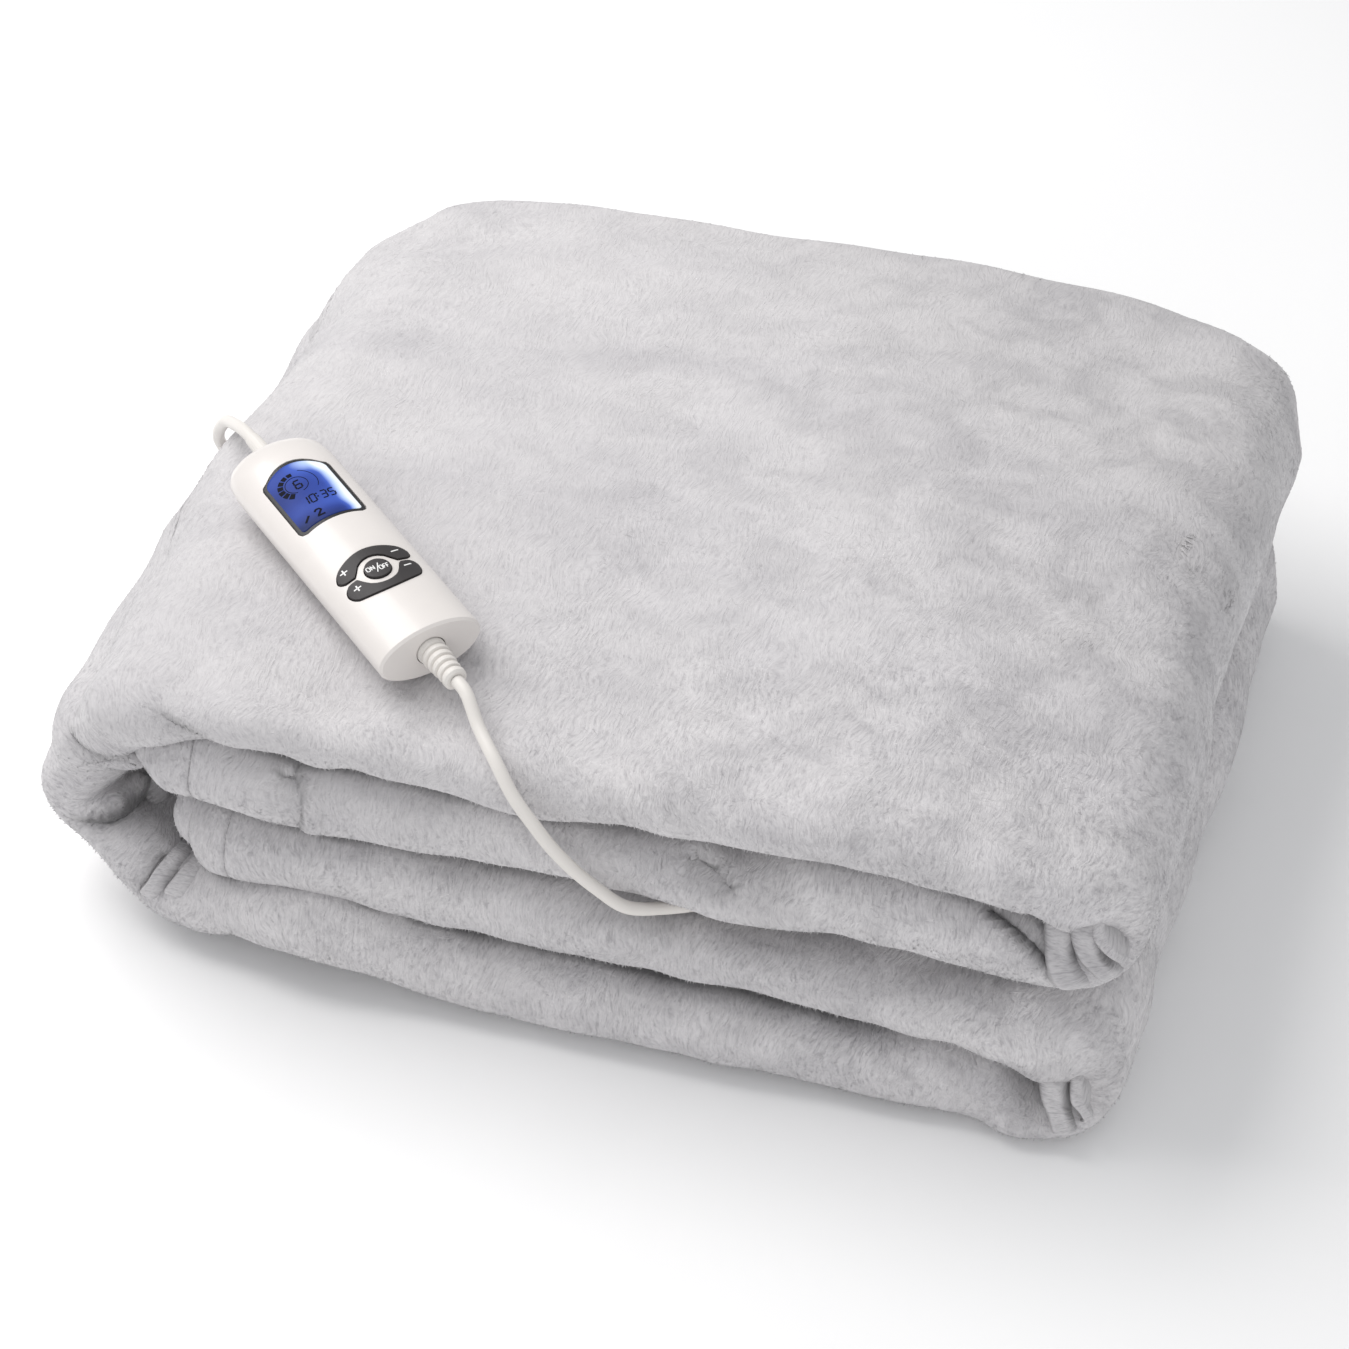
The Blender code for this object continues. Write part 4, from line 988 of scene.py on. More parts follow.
def fold_marks(P, N):
    """Each entry: tags, line, height of the side that lies over, depth of the other, their widths, how much of each end
    fades out, and, if given, how strong its painted shadow is. Gives the heights and a painted shadow along each crease
    and seam."""
    total = np.zeros((NU, NV))
    crease_shade = np.zeros((NU, NV))
    for tags, pts, over, under, w_over, w_under, fade, *dim in FOLDS:
        over, under, w_over, w_under = over / 1000, under / 1000, w_over / 1000, w_under / 1000
        rows = np.where((TAG1 >= tags[0]) & (TAG1 <= tags[1]))[0]
        cols = np.where(outer)[0]
        pts = curve_through(pts)
        far = 3.2 * max(w_over, w_under)
        sub = (P + N * PLY)[np.ix_(rows, cols)]
        lo, hi = pts.min(0) - far, pts.max(0) + far
        inside = np.all((sub > lo) & (sub < hi), axis=-1)
        if not inside.any():
            continue
        ri, ci = np.where(inside)
        Q = sub[ri, ci]
        n = N[rows[ri], cols[ci]]
        d, s, near, way = along(pts, Q)
        side = np.einsum("ij,ij->i", np.cross(way, n), Q - near)
        sgn = np.tanh(side / 0.0009)
        fa, fb = fade
        ends = smoothstep(0, max(fa, 1e-3), s) * smoothstep(0, max(fb, 1e-3), 1 - s) if (fa or fb) else np.ones(len(s))
        ends = np.clip(ends, 0, 1)
        up = over * np.exp(-(d / w_over) ** 2)
        dn = -under * np.exp(-(d / w_under) ** 1.6)
        val = (up * (1 + sgn) / 2 + dn * (1 - sgn) / 2) * ends
        total[rows[ri], cols[ci]] += val
        # painted shadow along the crease: dark on its line and on the side that lies under
        k = min(1.0, (over + under) / 0.0042) * (dim[0] if dim else 1.0)
        shadow = k * ends * (0.75 * np.exp(-(d / 0.0013) ** 2) + 0.50 * np.exp(-d / (0.7 * w_under)) * (1 - sgn) / 2)
        crease_shade[rows[ri], cols[ci]] = np.maximum(crease_shade[rows[ri], cols[ci]], shadow)
    # the hems' seams, and the cloth puffed a little beyond them
    seam = -0.0010 * np.exp(-((reach - SEAM_IN) / 0.0011) ** 2) + 0.0006 * np.exp(-((reach - 0.6 * SEAM_IN) / 0.0050) ** 2)
    total += np.where(outer[None, :], (seam * (np.abs(TAG1 - 3) > 1.5))[:, None], 0)
    # painted shade in the seams' grooves
    crease_shade = np.maximum(crease_shade, (0.30 * np.exp(-((reach - SEAM_IN) / 0.0012) ** 2))[:, None])
    return np.clip(total, -0.0120, 0.0040), np.clip(crease_shade, 0, 1)


marks, crease_shade = fold_marks(P, N)
BEFORE = P + N * PLY
P = P + N * marks[..., None]
N2 = grid_normals(P) * SIGN


def edge_round(reach, w):
    """Half thickness near a hem: the edge is rounded."""
    u = np.clip(reach / (1.6 * w), 0, 1)
    return w * np.sqrt(np.clip(1 - (1 - u) ** 2, 0.06, 1))


vlen = np.concatenate([[0], np.cumsum(np.linalg.norm(np.diff(P[NU // 2], axis=0), axis=1))])
vreach = np.minimum(vlen, vlen[-1] - vlen)
W = np.minimum(edge_round(reach, PLY)[:, None], edge_round(vreach, PLY)[None, :])
outer_face = P + N2 * W[..., None]
inner_cols = np.where(fine_col, np.cumsum(fine_col) % 4 == 0, np.cumsum(~fine_col) % 2 == 1)
inner_cols[0] = inner_cols[-1] = True
inner_cols = np.where(inner_cols)[0]
inner_face = (P - N2 * W[..., None])[::4][:, inner_cols]
outer_face[..., 2] = np.maximum(outer_face[..., 2], 0.0)
inner_face[..., 2] = np.maximum(inner_face[..., 2], 0.0006)


def strip(a, pa, b, pb):
    """Triangles between two rows of points, by the place of each along its row."""
    i = j = 0
    out = []
    while i < len(a) - 1 or j < len(b) - 1:
        if j == len(b) - 1 or (i < len(a) - 1 and pa[i + 1] <= pb[j + 1]):
            out.append((a[i], b[j], a[i + 1]))
            i += 1
        else:
            out.append((a[i], b[j], b[j + 1]))
            j += 1
    return out


def closed_sheet(name, top, low, mat):
    """The cloth: a fine outer face, with all the rows only where it is seen from near,
    and a coarse inner one."""
    nu, nv = top.shape[:2]
    cu, cv = low.shape[:2]
    keep = np.ones((nu, nv), bool)
    keep[1::2] = fine_col[None, :]
    ids = np.full((nu, nv), -1)
    ids[keep] = np.arange(keep.sum())
    verts = np.concatenate([top[keep], low.reshape(-1, 3)])
    base = int(keep.sum())
    c = base + np.arange(cu * cv).reshape(cu, cv)
    quads, tris = [], []

    def grid(g):
        quads.append(np.stack([g[:-1, :-1], g[1:, :-1], g[1:, 1:], g[:-1, 1:]], -1).reshape(-1, 4))

    j = 0
    while j < nv - 1:
        k = j
        while k + 1 < nv and fine_col[k + 1] == fine_col[j]:
            k += 1
        if k > j:
            grid(ids[:, j:k + 1] if fine_col[j] else ids[::2, j:k + 1])
        if k + 1 < nv:
            u = np.arange(nu)
            f, g = (k, k + 1)
            if fine_col[f]:
                tris += [t[::-1] for t in strip(ids[::2, g], u[::2], ids[:, f], u)]
            else:
                tris += strip(ids[::2, f], u[::2], ids[:, g], u)
        j = k + 1
    quads.append(np.stack([c[:-1, :-1], c[:-1, 1:], c[1:, 1:], c[1:, :-1]], -1).reshape(-1, 4))
    u = np.arange(nu)
    v = np.arange(nv)
    tris += strip(ids[::2, 0], u[::2], c[:, 0], u[::4])
    tris += strip(ids[::2, -1], u[::2], c[:, -1], u[::4])
    tris += strip(ids[0, :], v, c[0, :], inner_cols)
    tris += strip(ids[-1, :], v, c[-1, :], inner_cols)
    return big_mesh(name, verts, np.array(tris), np.concatenate(quads), mat)


shift = np.array([MID[0], MID[1], 0.0])
blanket = closed_sheet("blanket_cloth", outer_face - shift, inner_face - shift, FLEECE)
bm = bmesh.new()
bm.from_mesh(blanket.data)
bmesh.ops.recalc_face_normals(bm, faces=bm.faces)
bm.to_mesh(blanket.data)
bm.free()
blanket.data.shade_smooth()
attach(blanket, "base")
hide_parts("blanket")



# ---- the plies that show at each rolled right end: left edge, right edge, thickness
BANDS = [
    ("upper_end_ply_1", [(0.1640, -0.1500, 0.1040), (0.1648, -0.1528, 0.0940), (0.1664, -0.1558, 0.0868), (0.1688, -0.1568, 0.0800),
                         (0.1715, -0.1535, 0.0728), (0.1725, -0.1460, 0.0690)],
     [(0.1770, -0.1500, 0.1040), (0.1790, -0.1535, 0.0950), (0.1812, -0.1545, 0.0880), (0.1850, -0.1540, 0.0820),
      (0.1880, -0.1495, 0.0760), (0.1880, -0.1420, 0.0720)], 2.8),
    ("upper_end_ply_2", [(0.1720, -0.1500, 0.1050), (0.1736, -0.1535, 0.0960), (0.1774, -0.1543, 0.0882), (0.1814, -0.1540, 0.0838),
                         (0.1846, -0.1515, 0.0783), (0.1858, -0.1450, 0.0745)],
     [(0.1860, -0.1500, 0.1040), (0.1880, -0.1535, 0.0960), (0.1905, -0.1530, 0.0905), (0.1935, -0.1495, 0.0860),
      (0.1950, -0.1440, 0.0810), (0.1945, -0.1370, 0.0780)], 2.8),
    ("upper_end_ply_3", [(0.1790, -0.1490, 0.1060), (0.1802, -0.1532, 0.0988), (0.1824, -0.1538, 0.0958), (0.1862, -0.1538, 0.0920),
                         (0.1900, -0.1524, 0.0893), (0.1938, -0.1470, 0.0868)],
     [(0.1850, -0.1450, 0.1075), (0.1868, -0.1500, 0.1015), (0.1890, -0.1510, 0.0988), (0.1915, -0.1500, 0.0958),
      (0.1940, -0.1470, 0.0932), (0.1955, -0.1430, 0.0918)], 1.8),
    ("lower_end_ply_1", [(0.1668, -0.1500, 0.0310), (0.1680, -0.1532, 0.0245), (0.1697, -0.1552, 0.0200), (0.1722, -0.1572, 0.0165),
                         (0.1748, -0.1608, 0.0128), (0.1760, -0.1580, 0.0070)],
     [(0.1800, -0.1500, 0.0310), (0.1815, -0.1535, 0.0250), (0.1835, -0.1550, 0.0205), (0.1860, -0.1560, 0.0160),
      (0.1875, -0.1560, 0.0110), (0.1880, -0.1530, 0.0060)], 2.4),
    ("lower_end_ply_2", [(0.1775, -0.1490, 0.0320), (0.1786, -0.1540, 0.0248), (0.1796, -0.1553, 0.0222), (0.1824, -0.1562, 0.0200),
                         (0.1846, -0.1572, 0.0172), (0.1862, -0.1560, 0.0130)],
     [(0.1840, -0.1480, 0.0330), (0.1860, -0.1515, 0.0270), (0.1878, -0.1525, 0.0238), (0.1892, -0.1525, 0.0205),
      (0.1902, -0.1510, 0.0168), (0.1905, -0.1480, 0.0130)], 1.6),
    ("left_foot_ply_1", [(-0.1455, -0.1400, 0.0360), (-0.1462, -0.1460, 0.0367), (-0.1486, -0.1531, 0.0348), (-0.1516, -0.1572, 0.0298),
                         (-0.1550, -0.1580, 0.0240), (-0.1562, -0.1570, 0.0190)],
     [(-0.1372, -0.1400, 0.0350), (-0.1380, -0.1460, 0.0352), (-0.1398, -0.1525, 0.0340), (-0.1422, -0.1572, 0.0300),
      (-0.1450, -0.1598, 0.0240), (-0.1462, -0.1590, 0.0190)], 3.4, (-0.12, -0.70, 0.70)),
    ("left_foot_ply_2", [(-0.1395, -0.1400, 0.0350), (-0.1399, -0.1470, 0.0352), (-0.1412, -0.1518, 0.0342), (-0.1432, -0.1557, 0.0316),
                         (-0.1454, -0.1580, 0.0284), (-0.1475, -0.1590, 0.0245)],
     [(-0.1290, -0.1400, 0.0350), (-0.1295, -0.1470, 0.0352), (-0.1305, -0.1530, 0.0342), (-0.1320, -0.1575, 0.0310),
      (-0.1340, -0.1600, 0.0270), (-0.1360, -0.1605, 0.0230)], 2.6, (-0.05, -0.70, 0.70)),
]


OUTER_COLS = np.where(outer)[0]
SKIN = BVHTree.FromPolygons([tuple(q) for q in outer_face[::2][:, OUTER_COLS].reshape(-1, 3)],
                            [(i * len(OUTER_COLS) + j, (i + 1) * len(OUTER_COLS) + j, (i + 1) * len(OUTER_COLS) + j + 1, i * len(OUTER_COLS) + j + 1)
                             for i in range(len(outer_face[::2]) - 1) for j in range(len(OUTER_COLS) - 1)])


def band(name, left, right, thick, way=(0.22, -0.86, 0.40), foot=True):
    """One ply's folded edge: round and proud on its left side, running into the cloth on its right."""
    na, nb = 56, 26
    L, R = np.array(left, float), np.array(right, float)

    def even(p):
        p = np.array(route(p, 0.0005), float)
        d = np.concatenate([[0], np.cumsum(np.linalg.norm(np.diff(p, axis=0), axis=1))])
        t = np.linspace(0, d[-1], na)
        return np.stack([np.interp(t, d, p[:, k]) for k in range(3)], -1)

    L, R = even(L), even(R)
    v = (np.linspace(0, 1, nb) ** 1.5)[None, :, None]
    base_ = L[:, None] * (1 - v) + R[:, None] * v
    out = unit(np.array(way))
    v = v[0, :, 0]
    edge = 0.16
    h = np.where(v < edge, np.sqrt(np.clip(1 - (1 - v / edge) ** 2, 0, 1)), 1 - 1.0 * np.clip((v - edge) / (1 - edge), 0, 1) ** 1.5)
    wob = Waves(17, 0.010, 20, 0.4)
    top_ = base_ + out * (h[None, :, None] * thick / 1000)
    top_ = top_ + out * (0.00022 * wob(top_))[..., None]
    # its right side and its foot run into the cloth
    into = np.zeros((na, nb, 3))
    facing = np.zeros((na, nb, 3))
    for a in range(na):
        for b_ in range(nb):
            loc, _, index, _ = SKIN.find_nearest(Vector(base_[a, b_]))
            i, j = divmod(index, len(OUTER_COLS) - 1)
            into[a, b_] = loc
            facing[a, b_] = N2[2 * i, OUTER_COLS[j]]
    for _ in range(4):
        facing[1:-1] = (facing[:-2] + facing[1:-1] * 2 + facing[2:]) / 4
        facing[:, 1:-1] = (facing[:, :-2] + facing[:, 1:-1] * 2 + facing[:, 2:]) / 4
    facing = unit(facing)
    right_side = smoothstep(0.42, 0.90, v)[None, :] * np.ones((na, 1))
    at_foot = smoothstep(0.78, 0.97, np.linspace(0, 1, na))[:, None] * np.ones((1, nb)) if foot else 0
    w = (1 - (1 - right_side) * (1 - at_foot))[..., None]
    low_ = base_ - out * (np.where(v < edge, 0.0040 * np.sqrt(np.clip(1 - (1 - v / edge) ** 2, 0, 1)), 0.0040)[None, :, None] + 0.00005)
    low_ = low_ * (1 - w) + (into - facing * 0.0046) * w
    top_ = top_ * (1 - w) + (into - facing * 0.0014) * w
    low_[..., 2] = np.maximum(low_[..., 2], 0.0006)
    top_[..., 2] = np.maximum(top_[..., 2], 0.0010)
    verts = np.concatenate([top_.reshape(-1, 3), low_.reshape(-1, 3)]) - shift
    g = np.arange(na * nb).reshape(na, nb)
    q = np.stack([g[:-1, :-1], g[:-1, 1:], g[1:, 1:], g[1:, :-1]], -1).reshape(-1, 4)
    m = na * nb
    rim = list(g[0, :]) + list(g[1:, -1]) + list(g[-1, -2::-1]) + list(g[-2:0:-1, 0])
    sides = [(a, b_, b_ + m, a + m) for a, b_ in zip(rim, rim[1:] + rim[:1])]
    faces = [tuple(int(i) for i in f) for f in q] + [tuple(int(i) + m for i in f[::-1]) for f in q] + [tuple(int(i) for i in f[::-1]) for f in sides]
    ob = mesh_piece(name, [tuple(p) for p in verts], faces, FLEECE)
    bm = bmesh.new()
    bm.from_mesh(ob.data)
    bmesh.ops.recalc_face_normals(bm, faces=bm.faces)
    bm.to_mesh(ob.data)
    bm.free()
    ob.data.shade_smooth()
    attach(ob, "base")
    # its streaks run across it, and a painted shade makes it darker towards the foot of the next one, along its own
    # left edge and at its upper end
    long = np.linspace(0, 0.030, na)[:, None] * np.ones(nb)[None, :]
    wide = v[None, :] * 0.012 * np.ones((na, 1))
    cloth_at = np.stack([long + 0.3, wide + 0.2, np.zeros_like(long)], -1).reshape(-1, 3)
    band_shade = 0.10 + 0.30 * smoothstep(0.45, 0.85, v)[None, :] + 0.45 * smoothstep(0.08, 0.0, v)[None, :] + 0.25 * smoothstep(0.25, 0.0, np.linspace(0, 1, na))[:, None]
    band_shade = np.clip(band_shade, 0, 0.8).reshape(-1)
    give(ob, "cloth", np.concatenate([cloth_at, cloth_at]), "FLOAT_VECTOR")
    give(ob, "hollow_shade", np.concatenate([band_shade, band_shade]))
    return ob


def seen_share():
    """How open each place of the outer ply lies, 0 to 1, from rays in some directions."""
    rows, cols = np.arange(0, NU, 4), np.where(outer)[0]
    tree = BVHTree.FromPolygons([tuple(v) for v in (outer_face - shift)[::4].reshape(-1, 3)],
                                [(i * NV + j, (i + 1) * NV + j, (i + 1) * NV + j + 1, i * NV + j + 1)
                                 for i in range(len(rows) - 1) for j in range(NV - 1) if outer[j] and outer[j + 1]])
    out = np.zeros((len(rows), len(cols)))
    dirs = [(0, 0, 1, 1.0)] + [(0.62 * math.cos(a), 0.62 * math.sin(a), 0.78, 0.8) for a in np.radians((15, 87, 159, 231, 303))]
    dirs += [(0.92 * math.cos(a), 0.92 * math.sin(a), 0.38, 0.45) for a in np.radians((0, 51, 103, 154, 206, 257, 309))]
    whole = sum(d[3] for d in dirs)
    for a, r in enumerate(rows):
        for b, c in enumerate(cols):
            n = Vector(N2[r, c])
            p = Vector(outer_face[r, c] - shift) + n * 0.0010
            e = n.orthogonal().normalized()
            f = n.cross(e)
            hit = 0
            for x, y, z, w in dirs:
                d = e * x + f * y + n * z
                far = tree.ray_cast(p, d, 0.034)[3]
                if far is not None:
                    hit += w * (1 - far / 0.034)
                elif d.z < -1e-3 and p.z / -d.z < 0.034:
                    hit += 0.25 * w * (1 - max(0.0, p.z / -d.z) / 0.034)
            out[a, b] = 1 - hit / whole
    full = np.stack([np.interp(np.arange(NU), rows, out[:, b]) for b in range(len(cols))], -1)
    full = np.stack([np.interp(np.arange(NV), cols, full[i]) for i in range(NU)], 0)
    full[:, ~outer] = 0
    return full


def give(ob, name, values, kind="FLOAT"):
    a = ob.data.attributes.new(name, kind, "POINT")
    a.data.foreach_set("value" if kind == "FLOAT" else "vector", np.ascontiguousarray(values, dtype=np.float32).ravel())


OPEN = seen_share()
# painted shade: darker where the cloth lies less open, and along the creases
HOLLOW_SHADE = np.clip(0.95 * smoothstep(0.62, 0.10, OPEN) + crease_shade, 0, 1)
# painted shade: less where the right ends' plies fill the hollow, more in the wrap's inside
HOLLOW_SHADE *= 1 - 0.80 * ((TAG1 > 3.5) * smoothstep(0.095, 0.135, line[:, 0]))[:, None]
HOLLOW_SHADE = np.clip(HOLLOW_SHADE * (1 + 0.25 * (smoothstep(-0.100, -0.130, line[:, 0]) * (np.abs(TAG1 - 3) < 2.2)))[:, None], 0, 1)
CLOTH = np.stack([np.repeat(S[:, None], NV, 1), np.repeat(vlen[None, :], NU, 0), np.zeros((NU, NV))], -1)
kept = np.ones((NU, NV), bool)
kept[1::2] = fine_col[None, :]
below = np.ix_(np.arange(NU)[::4], inner_cols)
# painted shade for the material; the inner face gets 0.5 all over
give(blanket, "hollow_shade", np.concatenate([HOLLOW_SHADE[kept], np.full(inner_face.shape[:2], 0.5).ravel()]))
give(blanket, "cloth", np.concatenate([CLOTH[kept], CLOTH[below].reshape(-1, 3) + [0, 0, 0.1]]), "FLOAT_VECTOR")

# ------------------------------------------------------- stitches of the hems
def sausage(a, b, r, n=6):
    """A short closed stitch from a to b."""
    a, b = np.array(a), np.array(b)
    d = unit(b - a)
    e = unit(np.cross(d, [0.3, 0.5, 0.8]))
    f = np.cross(d, e)
    ring = [math.cos(2 * math.pi * k / n) * e + math.sin(2 * math.pi * k / n) * f for k in range(n)]
    rows = [(0.0, 0.55), (0.25, 1.0), (0.75, 1.0), (1.0, 0.55)]
    v = [a + (b - a) * u + r * w * q for u, w in rows for q in ring]
    faces = [(i * n + k, i * n + (k + 1) % n, (i + 1) * n + (k + 1) % n, (i + 1) * n + k) for i in range(3) for k in range(n)]
    faces += [tuple(range(n))[::-1], tuple(range(3 * n, 4 * n))]
    return v, faces


def seam_line(end):
    """The seam's own line over the lip, on the outer face, and its normals."""
    rows = np.arange(NU) if end == 0 else np.arange(NU)[::-1]
    k = int(np.argmax(reach[rows] > SEAM_IN))
    a, b = rows[k - 1], rows[k]
    w = (SEAM_IN - reach[a]) / (reach[b] - reach[a])
    cols = np.where((part_of == "F") | ((part_of == "E") & (part_u > 0.90)) | ((part_of == "G") & (part_u < 0.05)))[0]
    return outer_face[a, cols] * (1 - w) + outer_face[b, cols] * w, unit(N2[a, cols] * (1 - w) + N2[b, cols] * w)


sv, sf = [], []
for end in (0, 1):
    q, n = seam_line(end)
    arc = np.concatenate([[0], np.cumsum(np.linalg.norm(np.diff(q, axis=0), axis=1))])
    at = np.arange(0.001, arc[-1] - 0.003, 0.0031)
    for k, x0 in enumerate(at):
        pa = np.array([np.interp(x0, arc, q[:, c]) for c in range(3)])
        pb = np.array([np.interp(x0 + 0.0022, arc, q[:, c]) for c in range(3)])
        nn = unit(np.array([np.interp(x0 + 0.0011, arc, n[:, c]) for c in range(3)]))
        v, f = sausage(pa + nn * 0.00012 - shift, pb + nn * 0.00012 - shift, 0.00028)
        sf += [tuple(i + len(sv) for i in face) for face in f]
        sv += v
THREAD = plastic_material("thread", (0.40, 0.39, 0.40), 0.8, vary=0.1)
stitches = mesh_piece("hem_stitches", sv, sf, THREAD)
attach(stitches, "base")

# ------------------------------------------------------------------ the pile

def make_the_pile(count, pieces):
    rng = np.random.RandomState(11)
    A = outer_face
    du, dv = A[1:, :-1] - A[:-1, :-1], A[:-1, 1:] - A[:-1, :-1]
    size = np.linalg.norm(np.cross(du, dv), axis=-1)
    w = size * np.clip((OPEN[:-1, :-1] - 0.15) / 0.35, 0, 1)
    # fewer on the smooth back and left of the top
    toward = 0.45 * A[:-1, :-1, 0] - A[:-1, :-1, 1]
    w = w * np.clip(np.maximum(0.55 + 3.0 * toward, 2.2 - 14 * A[:-1, :-1, 2]), 0.30, 1.0)
    near = np.array([1.0 if p == "F" else (1.0 + 0.0 * u if p == "E" else 0.7) for p, u, _ in COLS])[:-1]
    w = w * near[None, :]
    w[A[:-1, :-1, 2] < 0.0022] = 0
    both = outer[:-1] & outer[1:]
    w[:, ~both] = 0
    c = np.cumsum(w.ravel())
    pick = np.searchsorted(c, rng.uniform(0, c[-1], count))
    i, j = np.unravel_index(pick, w.shape)
    fu, fv = rng.uniform(0, 1, count)[:, None], rng.uniform(0, 1, count)[:, None]

    def at(G):
        return (G[i, j] * (1 - fu) * (1 - fv) + G[i + 1, j] * fu * (1 - fv) + G[i, j + 1] * (1 - fu) * fv + G[i + 1, j + 1] * fu * fv)

    q = at(A) - shift
    n = unit(at(N2))
    gv = at(np.gradient(A, axis=1))
    lay = unit(gv - n * np.einsum("ij,ij->i", gv, n)[:, None])       # towards the lip
    turn = 0.9 * Waves(21, 0.075, 26, 0.45)(q) + 0.45 * Waves(22, 0.020, 26, 0.4)(q) + rng.normal(0, 0.38, count)
    side = np.cross(n, lay)
    lay = lay * np.cos(turn)[:, None] + side * np.sin(turn)[:, None]
    side = np.cross(n, lay)
    rough = np.clip(0.5 + 0.5 * Waves(23, 0.050, 26, 0.5)(q), 0.0, 1.0)
    lip = lipness[j]
    # most are low grains half sunk in the cloth; near the lips' edges some stand up
    stand = rng.uniform(0, 1, count) < 0.55 * smoothstep(0.35, 0.8, lip) * smoothstep(0.10, -0.35, n[:, 2])
    length = np.clip(rng.lognormal(math.log(0.0028), 0.30, count), 0.0014, 0.0052) * (0.85 + 0.3 * rough)
    wide = rng.uniform(0.00026, 0.00052, count)
    high = rng.uniform(0.00012, 0.00024, count) * (0.8 + 0.4 * rough)
    lean = np.radians(np.clip(rng.normal(50, 9, count) - 12 * lip, 25, 70))
    # none where the leads lie, and none standing up under the controller
    keep = np.ones(count, bool)
    tree = KDTree(len(short_pts) + len(mains_pts))
    for k, p in enumerate(list(short_pts) + list(mains_pts)):
        tree.insert(Vector(p), k)
    tree.balance()
    hold = CTL.inverted()
    hv = np.array(hold)
    loc = q @ hv[:3, :3].T + hv[:3, 3]
    under = (np.abs(loc[:, 0]) < CTL_L / 2 + 0.004) & (np.abs(loc[:, 1]) < CTL_W / 2) & (loc[:, 2] > -0.020)
    stand &= ~under
    for k in np.where((q[:, 1] < -0.09) | (q[:, 0] < -0.14))[0]:
        if tree.find(Vector(q[k]))[2] < CORD_D / 2 + 0.0016:
            keep[k] = False
    keep &= q[:, 2] > 0.0016
    mine_cloth = at(CLOTH)[keep]
    # each tuft takes the painted shade of the cloth below it
    mine_hollow_shade = at(HOLLOW_SHADE[..., None])[keep, 0]
    q, n, lay, side, lean, length, wide, high, stand = (a[keep] for a in (q, n, lay, side, lean, length, wide, high, stand))
    # the light falls on a tuft much as on the cloth below it, a little by the way it lies
    light = unit(n + 0.10 * lay + rng.normal(0, 0.115, n.shape))
    L, W, S = length[:, None], wide[:, None], stand[:, None]
    root = q - n * 0.00010
    v0 = np.where(S, root - side * 0.00017, root - side * W - lay * L * 0.35)
    v1 = np.where(S, root + side * 0.00017, root + side * W - lay * L * 0.35)
    v2 = np.where(S, root + lay * 0.00035, root + lay * L * 0.65)
    tip = np.where(S, root + (lay * np.sin(lean)[:, None] + n * np.cos(lean)[:, None]) * np.minimum(L * 0.42, 0.0014),
                   q + n * high[:, None] - lay * L * 0.05)
    for v in (v0, v1, v2, tip):
        v[:, 2] = np.maximum(v[:, 2], 0.0003)
    m = len(root)
    total = np.stack([v0, v1, v2, tip], 1)
    faces = np.array([(0, 1, 2), (1, 0, 3), (2, 1, 3), (0, 2, 3)])
    order = rng.permutation(m)
    for k in range(pieces):
        part = order[k::pieces]
        v = total[part].reshape(-1, 3)
        f = (faces[None] + 4 * np.arange(len(part))[:, None, None]).reshape(-1, 3)
        ob = big_mesh("pile_%d" % (k + 1), v, f, mat=PILE)
        # one small cell of the texture for each tuft
        side_n = int(math.ceil(math.sqrt(len(part))))
        cell = np.arange(len(part))
        ox, oy = (cell % side_n) / side_n, (cell // side_n) / side_n
        e = 1.0 / side_n
        quarter = np.array([[(0.08, 0.08), (0.42, 0.08), (0.08, 0.42)], [(0.58, 0.08), (0.92, 0.08), (0.58, 0.42)],
                            [(0.08, 0.58), (0.42, 0.58), (0.08, 0.92)], [(0.58, 0.58), (0.92, 0.58), (0.58, 0.92)]])
        uv = np.stack([ox, oy], -1)[:, None, None, :] + quarter[None] * e
        layer_uv = ob.data.uv_layers.new(name="OFBake")
        layer_uv.data.foreach_set("uv", uv.reshape(-1).astype(np.float32))
        give(ob, "hollow_shade", np.repeat(mine_hollow_shade[part], 4))
        give(ob, "cloth", np.repeat(mine_cloth[part], 4, axis=0), "FLOAT_VECTOR")
        ob.data.normals_split_custom_set_from_vertices(np.repeat(light[part], 4, axis=0))
        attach(ob, "base")


PILE = fleece_material("pile", 1.05)
if TUFTS:
    make_the_pile(TUFTS, 4)

for entry in BANDS:
    band(*entry)

# --------------------------------------------------- controller and the rest
HOLD = np.array(CTL.inverted())


def in_its_frame(node):
    """A node's mesh in the controller's own frame."""
    me = NODES[node].data
    v = np.empty(len(me.vertices) * 3)
    me.vertices.foreach_get("co", v)
    return v.reshape(-1, 3) @ HOLD[:3, :3].T + HOLD[:3, 3], [tuple(q.vertices) for q in me.polygons]


def face_of(node):
    """Height of a node's face at (x, y) in the controller's frame."""
    v, f = in_its_frame(node)
    tree = BVHTree.FromPolygons([tuple(q) for q in v], f)

    def height(x, y):
        hit = tree.ray_cast(Vector((x, y, 0.05)), Vector((0, 0, -1)))[0]
        return hit.z if hit is not None else None
    return height


